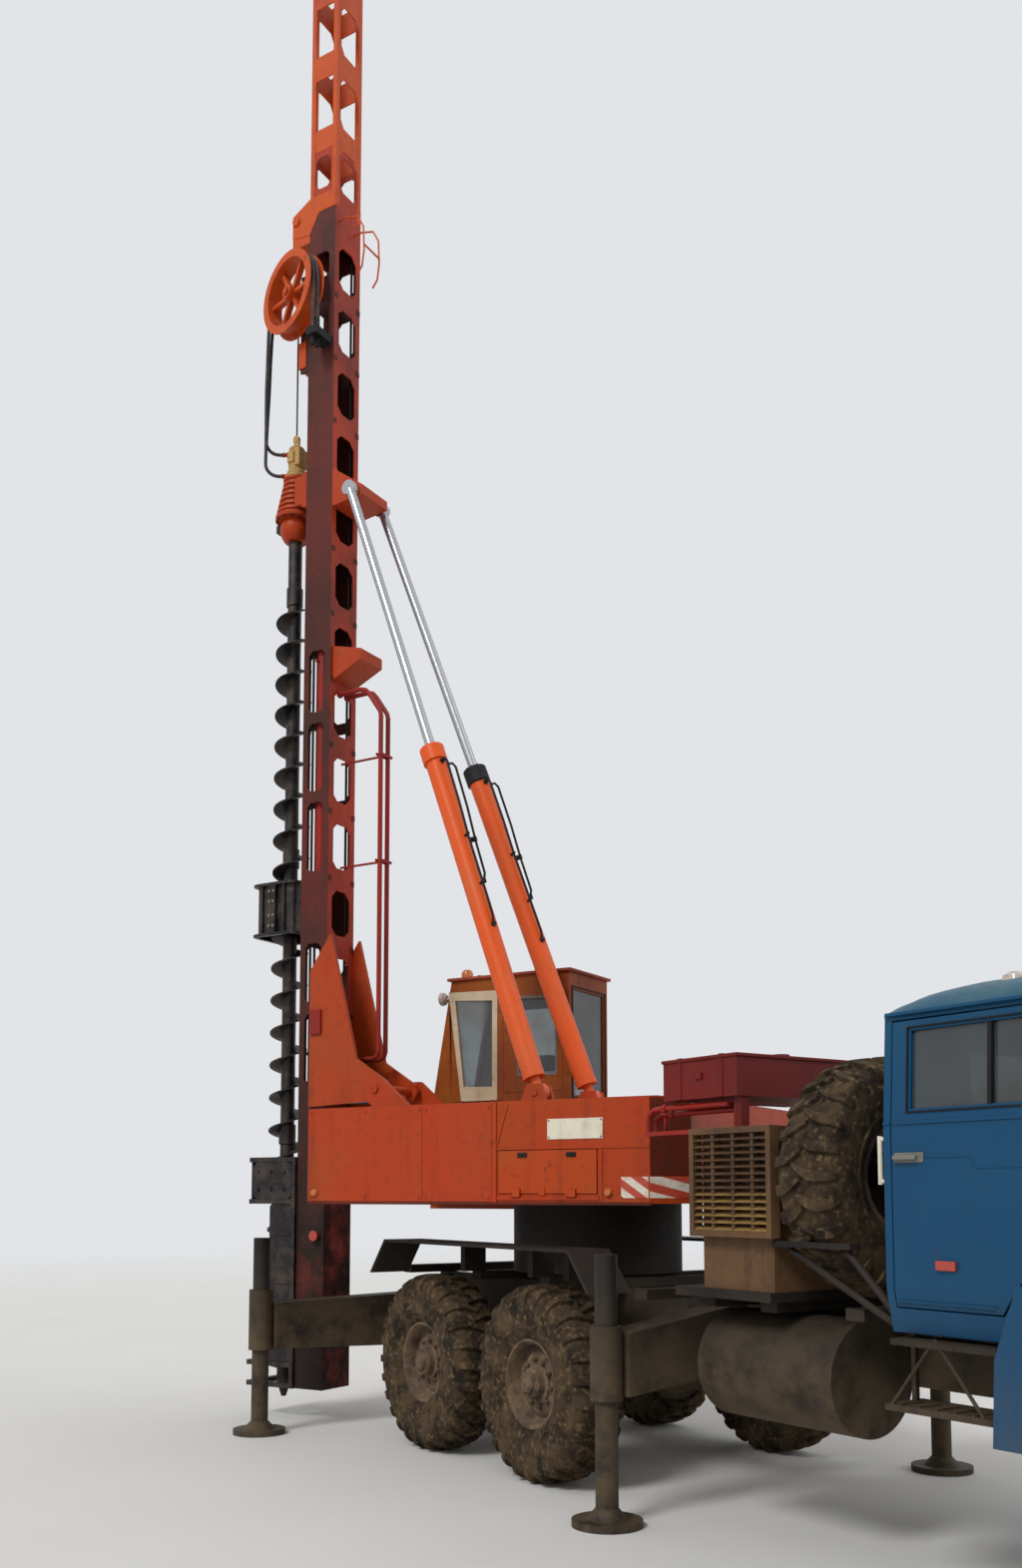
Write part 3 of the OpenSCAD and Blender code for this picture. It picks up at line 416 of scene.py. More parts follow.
# Name, fresh colour, faded colour, roughness, grime, rust and streaks of each paint. Some rows go on with
# mud, dents, foot and dirt.
PAINTS = (
    ("platform_orange", (168, 56, 18), (158, 64, 26), 0.42, 0.34, 0.2, 0.35),
    ("platform_red", (172, 52, 18), (162, 60, 24), 0.42, 0.34, 0.18, 0.35),
    # A darker copy of the platform's orange-red: painted shade on the chamfered corner face, the foot
    # strips and the rear louvres.
    ("platform_painted_shade", (98, 34, 16), (80, 30, 16), 0.5, 0.5, 0.35, 0.5),
    ("engine_orange", (168, 52, 12), (158, 60, 16), 0.45, 0.4, 0.26, 0.4),
    ("hatch_orange", (172, 60, 14), (162, 70, 20), 0.45, 0.4, 0.28, 0.4),
    ("upper_orange", (192, 78, 20), (178, 64, 24), 0.42, 0.35, 0.2, 0.3),
    # A dark and a light copy of the mast's red. The dark copy is painted shade on the side faces, rails
    # and stiffeners; the light copy is painted light on the rear faces and the neck.
    ("mast_red", (92, 34, 26), (60, 30, 24), 0.55, 0.6, 0.3, 0.6, 1.0, 0.006, (1.2, 4.2), SOOT),
    ("mast_painted_light", (168, 54, 28), (122, 42, 28), 0.5, 0.4, 0.25, 0.45, 1.0, 0.006, (1.2, 3.4), SOOT),
    ("cylinder_orange", (216, 84, 26), (204, 92, 44), 0.35, 0.18, 0.08, 0.18, 0.0),
    ("cab_blue", (10, 66, 102), (16, 72, 104), 0.3, 0.14, 0.05, 0.14, 0.35, 0.004),
    ("cab_roof", (42, 84, 106), (64, 98, 112), 0.45, 0.3, 0.06, 0.1, 0.0, 0.004),
    ("cab_ochre", (146, 76, 16), (114, 50, 18), 0.5, 0.45, 0.5, 0.5),
    ("roof_rust", (156, 72, 46), (120, 52, 38), 0.6, 0.4, 0.5, 0.35),
    ("tank_red", (110, 22, 16), (92, 22, 16), 0.5, 0.3, 0.2, 0.3),
    ("guard_yellow", (158, 126, 70), (112, 86, 54), 0.6, 0.6, 0.4, 0.5),
    ("guard_brown", (104, 76, 50), (78, 58, 44), 0.65, 0.6, 0.5, 0.5),
    ("chassis_black", (26, 23, 21), (42, 36, 31), 0.62, 0.4, 0.2, 0.3, 0.75),
    ("jack_black", (22, 21, 20), (34, 31, 28), 0.5, 0.3, 0.08, 0.2, 0.55),
    ("motor_cream", (188, 152, 94), (160, 124, 74), 0.5, 0.5, 0.35, 0.4),
    ("cream_frame", (196, 182, 156), (168, 150, 122), 0.5, 0.4, 0.25, 0.4),
    ("pipe_red", (150, 32, 22), (120, 36, 28), 0.4, 0.3, 0.1, 0.2),
    ("seal_black", (22, 22, 24), (34, 33, 33), 0.6, 0.2, 0.0, 0.2),
    ("grey_steel", (120, 118, 112), (92, 88, 82), 0.45, 0.4, 0.3, 0.4),
    ("plate_white", (222, 216, 198), (204, 196, 176), 0.5, 0.25, 0.08, 0.3),
)


def make_materials():
    """The paints of the table, and the looks that have a pattern of their own."""
    for row in PAINTS:
        paint(*row)

    n = Nodes("tyre_rubber")
    dust = n.range(n.noise(7.0, 9.0, 0.7), 0.34, 0.66)
    base = n.mix(dust, rgb(34, 29, 24), rgb(82, 67, 48))
    base = n.mix(n.range(n.noise(28.0, 6.0), 0.55, 0.7), base, rgb(104, 86, 62))
    n.done(Base_Color=base, Roughness=0.9, Specular_IOR_Level=0.15,
           Normal=n.bump(n.noise(60.0, 8.0, 0.7), 0.003, 0.8))
    n = Nodes("rim_dirty")
    base = n.mix(n.range(n.noise(9.0, 8.0, 0.7), 0.35, 0.65), rgb(74, 62, 52), rgb(116, 96, 74))
    n.done(Base_Color=base, Roughness=0.8, Specular_IOR_Level=0.2,
           Normal=n.bump(n.noise(40.0, 7.0), 0.0015, 0.8))
    n = Nodes("auger_steel")
    wear = n.range(n.noise(6.0, 8.0, 0.65), 0.4, 0.65)
    base = n.mix(wear, rgb(40, 37, 38), rgb(74, 66, 60))
    base = n.mix(n.range(n.noise(3.0, 7.0, 0.7), 0.6, 0.75), base, rgb(92, 66, 48))
    n.done(Base_Color=base, Metallic=0.65, Roughness=n.blend(wear, 0.38, 0.65),
           Normal=n.bump(n.noise(35.0, 7.0), 0.002, 0.7))
    n = Nodes("rod_chrome")
    lines = n.noise(1.0, 4.0, 0.6, n.stretched((160.0, 160.0, 3.0)))
    n.done(Base_Color=n.mix(lines, rgb(196, 198, 202), rgb(150, 152, 156)), Metallic=0.9,
           Roughness=n.blend(lines, 0.16, 0.34), Normal=n.bump(lines, 0.0003, 0.4))
    n = Nodes("glass")
    dirt = n.range(n.noise(2.4, 6.0, 0.65), 0.35, 0.75)
    n.done(Base_Color=n.mix(dirt, rgb(128, 138, 142), rgb(112, 110, 102)),
           Roughness=n.blend(dirt, 0.03, 0.3), Transmission_Weight=0.82, IOR=1.45)
    n = Nodes("hose_rubber")
    scuff = n.range(n.noise(22.0, 6.0), 0.4, 0.7)
    n.done(Base_Color=n.mix(scuff, rgb(26, 25, 26), rgb(64, 60, 56)), Roughness=0.62,
           Normal=n.bump(n.noise(90.0, 3.0), 0.0006, 0.6))
    n = Nodes("trim_dark")
    grain = n.noise(80.0, 4.0)
    n.done(Base_Color=n.mix(grain, rgb(34, 33, 34), rgb(52, 50, 50)), Roughness=0.75,
           Normal=n.bump(grain, 0.0008, 0.6))
    n = Nodes("seat_fabric")
    weave = n.noise(140.0, 2.0)
    n.done(Base_Color=n.mix(weave, rgb(84, 36, 52), rgb(110, 52, 70)), Roughness=0.9,
           Normal=n.bump(weave, 0.001, 0.7))
    for name, colour in (("lamp_red", rgb(198, 44, 24)), ("lamp_orange", rgb(226, 120, 30)),
                         ("lamp_clear", rgb(220, 218, 206))):
        n = Nodes(name)
        ribs = n.noise(60.0, 2.0)
        n.done(Base_Color=n.mix(ribs, colour, rgb(120, 60, 40)), Roughness=0.25, Coat_Weight=0.5,
               Normal=n.bump(ribs, 0.0008, 0.5))
    n = Nodes("hazard_patch")
    split = n.new("ShaderNodeSeparateXYZ")
    n.join(n.place, split.inputs[0])
    slant = n.math("ADD", n.math("MULTIPLY", split.outputs["X"], 0.75), split.outputs["Z"])
    stripe = n.range(n.math("PINGPONG", slant, 0.055), 0.026, 0.029)
    worn = n.range(n.noise(16.0, 8.0, 0.7), 0.45, 0.7)
    base = n.mix(stripe, rgb(176, 58, 38), rgb(214, 204, 188))
    n.done(Base_Color=n.mix(n.math("MULTIPLY", worn, 0.5), base, rgb(150, 96, 70)),
           Roughness=0.55, Normal=n.bump(worn, 0.0006, 0.5))


def dress_cad_nodes():
    """Every CAD node that shows gets its material in all its slots."""
    nodes_by_look = {
        "chassis_black": ("chassis_frame", "bumper", "axles", "fuel_tank", "steps", "deck_frame",
                          "mudguards",
                          "outrigger_front", "outrigger_rear", "slew_ring", "knuckle_left",
                          "knuckle_right"),
        "jack_black": ("jack_front_left", "jack_front_right", "jack_rear_left", "jack_rear_right"),
        "cab_blue": ("truck_cab", "fenders", "bonnet", "door_left", "door_right"),
        "trim_dark": ("cab_interior", "engine_block"),
        "glass": ("cab_glass", "operator_glass"),
        "platform_orange": ("platform_deck", "mast_support"),
        "engine_orange": ("engine_housing",),
        "hatch_orange": ("hatch",),
        "guard_brown": ("power_unit",),
        "guard_yellow": ("radiator_guard",),
        "tank_red": ("tank_box",),
        "cab_ochre": ("operator_cab", "operator_door"),
        "seat_fabric": ("operator_seat",),
        # The lower mast's node takes the dark copy of the mast's red: painted shade.
        "mast_red": ("mast_lower",),
        "upper_orange": ("mast_upper", "hose_wheel"),
        "auger_steel": ("auger_guide", "steady_guide", "crown_sheave"),
        "pipe_red": ("feed_pipes",),
        "motor_cream": ("drive_motor",),
        "cylinder_orange": ("drive_head", "cylinder_left", "cylinder_right"),
        "rod_chrome": ("rod_left", "rod_right"),
    }
    for look, nodes in nodes_by_look.items():
        for name in nodes:
            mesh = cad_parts[name].data
            if not mesh.materials:
                mesh.materials.append(looks[look])
            for i in range(len(mesh.materials)):
                mesh.materials[i] = looks[look]


# Wheels

TYRE_R = 0.63
RIM_R = 0.26
LUGS = 26
TRACK = 1.0
FRONT_AXLE = 4.555
REAR_AXLE = -1.4
HUB_Z = 0.63
SPARE_AT = (2.42, -0.55, 1.93)


def tyre_shape():
    """A cross-country tyre about Y: carcass, side ribs and lugs that wrap over the shoulders."""
    s = Shape()
    half = [(0.262, 0.118), (0.275, 0.140), (0.315, 0.170), (0.345, 0.181), (0.350, 0.187),
            (0.362, 0.188),
            (0.368, 0.184), (0.42, 0.189), (0.47, 0.190), (0.515, 0.186), (0.55, 0.176), (0.578, 0.158),
            (0.594, 0.125), (0.602, 0.07), (0.604, 0.0)]
    outline = half + [(r, -y) for r, y in half[-2::-1]]
    s.lathe(outline + [(RIM_R, -0.10), (RIM_R, 0.10)], 84, axis="Y", closed=True)
    line = [(0.602, -0.022), (0.603, 0.03), (0.602, 0.075), (0.594, 0.118), (0.578, 0.150),
            (0.550, 0.172),
            (0.512, 0.184)]
    widths = (0.016, 0.026, 0.032, 0.034, 0.033, 0.030, 0.022)
    heights = (0.027, 0.027, 0.028, 0.029, 0.027, 0.020, 0.006)
    shift = (0.060, 0.030, 0.008, 0.0, 0.0, 0.0, 0.0)
    for k in range(LUGS):
        for side in (1, -1):
            a = 2 * math.pi * (k + (0.5 if side < 0 else 0)) / LUGS
            rings = []
            for i, (r, y) in enumerate(line):
                before, after = line[max(i - 1, 0)], line[min(i + 1, len(line) - 1)]
                d = Vector((after[0] - before[0], after[1] - before[1])).normalized()
                out = Vector((d[1], -d[0]))
                top_r, top_y = r + out[0] * heights[i], y + out[1] * heights[i]
                ring = []
                for rr, yy, w in ((r - 0.012, y, widths[i]), (top_r, top_y, widths[i] - 0.007),
                                  (top_r, top_y, 0.007 - widths[i]), (r - 0.012, y, -widths[i])):
                    t = a + (w + shift[i]) / TYRE_R
                    ring.append((rr * math.sin(t), side * yy, rr * math.cos(t)))
                rings.append(ring)
            s.rings(rings)
    return s


def rim_shape():
    """A steel disc rim about Y with its outer face at plus Y, ring of nuts and hub with its cap."""
    s = Shape()
    outer = [(0.262, 0.116), (0.288, 0.128), (0.292, 0.138), (0.286, 0.147), (0.270, 0.146),
             (0.252, 0.122),
             (0.247, 0.075), (0.240, 0.052), (0.222, 0.048), (0.202, 0.062), (0.182, 0.074),
             (0.120, 0.076)]
    inner = [(0.120, 0.060), (0.180, 0.058), (0.215, 0.030), (0.238, 0.034), (0.240, -0.10),
             (0.258, -0.146),
             (0.286, -0.147), (0.292, -0.138), (0.288, -0.128), (0.262, -0.116)]
    s.lathe(outer + inner, 56, axis="Y", closed=True)
    hub = [(0.0, 0.172), (0.050, 0.172), (0.058, 0.166), (0.062, 0.150), (0.088, 0.146), (0.096, 0.136),
           (0.100, 0.096), (0.128, 0.090), (0.130, 0.070), (0.110, 0.045), (0.0, 0.045)]
    s.lathe(hub, 36, axis="Y")
    for count, radius, low, high, r in ((10, 0.150, 0.070, 0.100, 0.015), (10, 0.150, 0.09, 0.114, 0.007),
                                        (12, 0.077, 0.140, 0.155, 0.007)):
        s.bolts(count, radius, low, high, r, axis="Y", first=0)
    s.rod((0.215, 0.05, 0.06), (0.235, 0.15, 0.066), 0.006, 8)
    return s


def wheels():
    tyre, rim = tyre_shape(), rim_shape()
    places = [(f"{row}_{side}", f"wheel_{row}_{side}", f"{row}_{side}_wheel",
               TRUCK @ Matrix.Translation((x, sign * TRACK, HUB_Z)) @ Matrix.Rotation(turn * sign, 4, "Y")
               @ Matrix.Diagonal((1, sign, 1, 1)))
              for row, x, turn in (("front", FRONT_AXLE, 0.1), ("middle", 0.0, 0.5),
                                   ("rear", REAR_AXLE, 0.9))
              for sign, side in SIDES]
    places.append(("spare", "spare_wheel", "chassis",
                   TRUCK @ Matrix.Translation(SPARE_AT) @ Matrix.Rotation(math.radians(90), 4, "Z")))
    for name, node, body, at in places:
        for kind, source, look in (("tyre", tyre, "tyre_rubber"), ("rim", rim, "rim_dirty")):
            s = Shape(at, body)
            s.add(source.points, source.faces)
            s.make(f"{kind}_{name}", look, "tyre_rubber", replaces=(node,), sharp=32)


# Drill

DRILL_X = -2.98
FLIGHT_R = 0.16
STEM_R = 0.06
FLIGHT_PITCH = 0.28
AUGER_LOW = 0.15
HEAD_LOW = 7.61
HEAD_MID = 8.19
HEAD_HIGH = 8.50


def auger():
    s = Shape(MAST @ Matrix.Translation((DRILL_X, 0, 0)), "auger_string")
    top = HEAD_LOW - 0.006
    stem = [(0.0, AUGER_LOW), (0.02, AUGER_LOW), (STEM_R, AUGER_LOW + 0.12)]
    for z in (2.35, 4.75, 7.1):
        stem += [(STEM_R, z - 0.09), (STEM_R + 0.012, z - 0.08), (STEM_R + 0.012, z + 0.08),
                 (STEM_R, z + 0.09)]
    stem += [(STEM_R, top), (0.045, top), (0.045, HEAD_LOW + 0.08), (0.0, HEAD_LOW + 0.08)]
    s.lathe(stem, 28)
    coils, per = 24, 26
    rings = []
    for i in range(coils * per + 1):
        t = 2 * math.pi * i / per
        z = AUGER_LOW + 0.10 + FLIGHT_PITCH * i / per
        grow = min(1, 0.55 + i / per * 0.6, 0.62 + (coils * per - i) / per)
        r = STEM_R + (FLIGHT_R - STEM_R) * grow
        c, q = math.cos(t), math.sin(t)
        rings.append([(STEM_R * 0.96 * c, STEM_R * 0.96 * q, z - 0.008), (r * c, r * q, z - 0.006),
                      (r * c, r * q, z + 0.006), (STEM_R * 0.96 * c, STEM_R * 0.96 * q, z + 0.008)])
    s.rings(rings)
    s.make("auger_flights", "auger_steel", "auger_steel", replaces=("auger",))


HOSE_R = 0.015
HOSE_UPPER = [
    (-2.508, -0.315, 9.27), (-2.508, -0.315, 9.35), (-2.508, -0.315, 9.45), (-2.508, -0.315, 9.55),
    (-2.508, -0.315, 9.65), (-2.508, -0.315, 9.75), (-2.52, -0.312, 9.837), (-2.552, -0.303, 9.919),
    (-2.604, -0.288, 9.989), (-2.671, -0.269, 10.043), (-2.749, -0.246, 10.076), (-2.833, -0.222, 10.088),
    (-2.917, -0.198, 10.076), (-2.996, -0.175, 10.043), (-3.063, -0.156, 9.989), (-3.115, -0.141, 9.919),
    (-3.147, -0.132, 9.837), (-3.158, -0.129, 9.75), (-3.161, -0.131, 9.66), (-3.17, -0.135, 9.56),
    (-3.176, -0.136, 9.46), (-3.18, -0.137, 9.36), (-3.185, -0.137, 9.26), (-3.188, -0.137, 9.16),
    (-3.192, -0.137, 9.06), (-3.196, -0.137, 8.96), (-3.201, -0.138, 8.86), (-3.206, -0.139, 8.76),
    (-3.21, -0.14, 8.65), (-3.214, -0.141, 8.55), (-3.209, -0.138, 8.513), (-3.194, -0.129, 8.479),
    (-3.172, -0.115, 8.453), (-3.143, -0.098, 8.436), (-3.111, -0.079, 8.43), (-3.091, -0.067, 8.43)]
HOSE_LOWER = [
    (-2.522, -0.361, 9.27), (-2.522, -0.361, 9.35), (-2.522, -0.361, 9.45), (-2.522, -0.361, 9.55),
    (-2.522, -0.361, 9.65), (-2.522, -0.361, 9.75), (-2.533, -0.358, 9.837), (-2.565, -0.349, 9.919),
    (-2.617, -0.334, 9.989), (-2.684, -0.315, 10.043), (-2.763, -0.292, 10.076), (-2.847, -0.268, 10.088),
    (-2.931, -0.244, 10.076), (-3.009, -0.221, 10.043), (-3.076, -0.202, 9.989), (-3.128, -0.187, 9.919),
    (-3.16, -0.178, 9.837), (-3.172, -0.175, 9.75), (-3.174, -0.176, 9.66), (-3.174, -0.179, 9.56),
    (-3.176, -0.181, 9.46), (-3.178, -0.182, 9.36), (-3.18, -0.183, 9.26), (-3.182, -0.183, 9.16),
    (-3.185, -0.184, 9.06), (-3.187, -0.183, 8.96), (-3.188, -0.181, 8.86), (-3.189, -0.179, 8.76),
    (-3.19, -0.176, 8.66), (-3.192, -0.173, 8.56), (-3.195, -0.169, 8.45), (-3.199, -0.166, 8.335),
    (-3.194, -0.163, 8.298), (-3.179, -0.155, 8.264), (-3.156, -0.141, 8.238), (-3.127, -0.124, 8.221),
    (-3.096, -0.105, 8.215), (-3.076, -0.093, 8.215)]


def fine_path(points, steps=4):
    """Points on a smooth line through the given ones."""
    p = [Vector(q) for q in points]
    out = []
    for i in range(len(p) - 1):
        a, b, c, d = p[max(i - 1, 0)], p[i], p[i + 1], p[min(i + 2, len(p) - 1)]
        for k in range(steps):
            t = k / steps
            out.append(0.5 * (2 * b + (c - a) * t + (2 * a - 5 * b + 4 * c - d) * t * t
                              + (3 * b - a - 3 * c + d) * t ** 3))
    return out + [p[-1]]


def hoses():
    for name, route in (("hose_upper", HOSE_UPPER), ("hose_lower", HOSE_LOWER)):
        path = [MAST @ q for q in fine_path(route)]
        s = Shape()
        s.sweep(path, HOSE_R, 14)
        tube = s.make(f"{name}_line", "hose_rubber", "hose_rubber", replaces=(name,))
        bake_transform(tube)


# Mast

MAST_X = (-2.715, -2.43)
MAST_Y = 0.18
MAST_LOW = 0.25
MAST_MID = 10.5
MAST_TOP = 13.3
MAST_WALL = 0.014
POST = 0.045
WINDOWS = [(3.44 + 0.575 * i, 3.82 + 0.575 * i) for i in range(12)]
SLOTS = ((2.76, 3.34), (3.44, 3.94), (4.56, 5.15), (5.25, 5.84), (5.94, 6.48), (9.29, 9.64),
         (9.86, 10.09))
BATTENS = ((11.05, 11.26), (11.73, 11.96), (12.42, 12.65), (13.10, 13.30))
WHEEL_AT = Vector((-2.84, -0.245, 9.75))
WHEEL_AXIS = Vector((-math.sin(math.radians(16)), -math.cos(math.radians(16)), 0))
SHEAVE_AT = Vector((-2.865, 0, 10.48))
SHEAVE_R = 0.13
ROPE_R = 0.008


def mast_tube():
    """The lower mast: a welded tube with windows in its rear face and slots in the others."""
    x0, x1 = MAST_X
    tube, hollow, slots = on_mast(), on_mast(), on_mast()
    tube.box((x0, -MAST_Y, MAST_LOW), (x1, MAST_Y, MAST_MID))
    hollow.box((x0 + MAST_WALL, -MAST_Y + MAST_WALL, MAST_LOW + 0.02),
               (x1 - MAST_WALL, MAST_Y - MAST_WALL, MAST_MID - 0.02))
    sides, windows = on_mast(), on_mast()
    for low, high in SLOTS:
        slots.prism(chamfered(-0.095, 0.095, low, high, 0.035), "X", x0 - 0.1, x0 + 0.1)
        sides.prism(chamfered(x0 + 0.055, x1 - 0.065, low, high, 0.035), "Y", -0.3, 0.3)
    for low, high in WINDOWS:
        windows.prism(chamfered(-0.12, 0.12, low, high, 0.06), "X", x1 - 0.06, x1 + 0.06)
    mesh = carved(tube, hollow, slots, sides, windows)
    back = MAST.inverted()
    # Rear faces get the light copy of the red and all other faces the dark copy: painted light and painted
    # shade on one paint.
    two_toned(mesh, "mast_red", "mast_painted_light", lambda face: (back @ face.center).x > x1 - MAST_WALL - 0.001)
    piece("mast_tube", mesh, None, "mast", 0.003, ("mast_lower",))

    # Rails and batten plates in the dark copy of the mast's red: painted shade.
    s = on_mast()
    for side in (1, -1):
        s.box((x0 - 0.03, side * 0.11, 2.2), (x0 + 0.002, side * 0.14, 10.2))
    for low, high in WINDOWS:
        for y0, y1 in ((-0.178, -0.135), (0.135, 0.178)):
            s.box((x1 - 0.002, y0, low - 0.12), (x1 + 0.006, y1, low - 0.075))
    s.make("mast_rails", "mast_red", "mast_red", 0.003, replaces=("mast_lower",))

    s = on_mast()
    s.box((WHEEL_AT.x - 0.06, -0.13, WHEEL_AT.z - 0.06), (x0 + 0.01, -0.05, WHEEL_AT.z + 0.06))
    s.rod(WHEEL_AT - 0.17 * WHEEL_AXIS, WHEEL_AT + 0.085 * WHEEL_AXIS, 0.025, 20)
    s.rod(WHEEL_AT + 0.080 * WHEEL_AXIS, WHEEL_AT + 0.092 * WHEEL_AXIS, 0.034, 6)
    s.make("wheel_bracket", "upper_orange", "upper_orange", 0.004, replaces=("mast_lower",))
    s = on_mast()
    s.box((-2.57, -0.395, 9.20), (-2.45, -0.17, 9.2695))
    for x, y in (HOSE_UPPER[0][:2], HOSE_LOWER[0][:2]):
        s.rod((x, y, 9.12), (x, y, 9.205), 0.02, 6)
    s.make("hose_block", "seal_black", "chassis_black", 0.004, replaces=("mast_lower",))


def mast_inside():
    """The feed cylinder and the steel lines that show through the mast's slots."""
    x, y = -2.575, -0.085
    s = on_mast()
    s.rod((x, y, 4.45), (x, y, 6.62), 0.056, 24)
    for z in (4.45, 6.56):
        s.rod((x, y, z), (x, y, z + 0.07), 0.066, 24)
    for z in (6.50, 6.40):
        s.rod((x, -0.12, z), (-2.60, -0.163, z), 0.014, 10)
    s.box((-2.65, -0.166, 4.42), (-2.50, 0.0, 4.45))
    s.make("feed_cylinder", "pipe_red", "pipe_red", 0.003)
    s = on_mast()
    s.rod((x, y, 6.62), (x, y, 8.9), 0.028, 20)
    s.make("feed_rod", "rod_chrome", "rod_chrome")
    s = on_mast()
    for x, y, low, high in ((-2.64, -0.14, 0.5, 9.2), (-2.62, -0.11, 0.5, 9.2),
                            (-2.48, 0.12, 0.6, 10.3)):
        s.rod((x, y, low), (x, y, high), 0.011, 10)
    for z in (1.5, 3.0, 4.2, 5.9, 7.4, 8.8):
        s.box((-2.66, -0.166, z), (-2.60, -0.09, z + 0.03))
    s.make("mast_lines", "seal_black", "hose_rubber")


def upper_mast():
    """The lattice above the tube: posts, battens with gussets, the crown's plates and its pin."""
    x0, x1 = MAST_X
    y = MAST_Y
    s = on_mast()
    for x in (x0, x1 - POST):
        for side in (1, -1):
            s.box((x, side * (y - POST), MAST_MID), (x + POST, side * y, MAST_TOP))
    for low, high in BATTENS:
        for side in (1, -1):
            s.box((x0 + POST, side * (y - 0.012), low), (x1 - POST, side * y, high))
        for x in (x0, x1 - 0.012):
            s.box((x, POST - y, low), (x + 0.012, y - POST, high))
            for z, away in ((low, -0.09), (high, 0.09 if high < MAST_TOP else 0)):
                for side in (1, -1):
                    inner = side * (y - POST)
                    if away:
                        s.prism([(inner, z), (inner - side * 0.06, z), (inner, z + away)], "X", x,
                                x + 0.012)
    s.make("mast_lattice", "upper_orange", "upper_orange", 0.003, replaces=("mast_upper",))

    s, hollow, windows = on_mast(), on_mast(), on_mast()
    s.box((x0 + 0.002, 0.002 - y, MAST_MID), (x1 - 0.002, y - 0.002, BATTENS[0][0]))
    hollow.box((x0 + 0.012, 0.012 - y, MAST_MID - 0.1), (x1 - 0.012, y - 0.012, BATTENS[0][0] + 0.1))
    windows.prism(chamfered(-0.11, 0.11, 10.66, 10.99, 0.04), "X", x0 - 0.1, x1 + 0.1)
    sides = on_mast()
    sides.prism(chamfered(x0 + 0.06, x1 - 0.06, 10.70, 10.99, 0.04), "Y", -0.3, 0.3)
    mesh = carved(s, hollow, windows, sides)
    # The neck takes the light copy of the mast's red: painted light.
    piece("mast_neck", mesh, "mast_painted_light", "mast", 0.002, ("mast_upper",))

    s = on_mast()
    arm = [(-2.91, 10.33), (-2.91, 10.54), (x0, 10.64), (x1, 10.64), (x1, MAST_MID - 0.02),
           (x0 + 0.1, MAST_MID - 0.02),
           (x0, 10.30)]
    for side in (1, -1):
        s.prism(arm, "Y", side * (y - 0.012), side * (y + 0.004))
        s.prism(arm, "Y", side * (y - 0.06), side * (y - 0.048))
        s.box((-2.91, side * (y - 0.05), 10.33), (-2.895, side * y, 10.53))
    s.box((-2.91, -y, 10.23), (x0, y, 10.335))
    s.rod(SHEAVE_AT - Vector((0, y, 0)), SHEAVE_AT + Vector((0, y, 0)), 0.025, 20)
    for side in (1, -1):
        s.rod(SHEAVE_AT + Vector((0, side * y, 0)), SHEAVE_AT + Vector((0, side * (y + 0.018), 0)), 0.045,
              6)
    s.make("crown_bracket", "upper_orange", "upper_orange", 0.004, replaces=("mast_upper",))

    s = Shape(MAST, "sheave")
    rim = [(0.0256, -0.030), (0.05, -0.030), (0.052, -0.016), (0.10, -0.016), (0.104, -0.030),
           (SHEAVE_R, -0.030),
           (SHEAVE_R, -0.022), (0.112, -0.010), (0.110, 0.0), (0.112, 0.010), (SHEAVE_R, 0.022),
           (SHEAVE_R, 0.030),
           (0.104, 0.030), (0.10, 0.016), (0.052, 0.016), (0.05, 0.030), (0.0256, 0.030)]
    s.lathe(rim, 48, SHEAVE_AT, "Y", closed=True)
    s.make("sheave_wheel", "auger_steel", "auger_steel", replaces=("crown_sheave",))


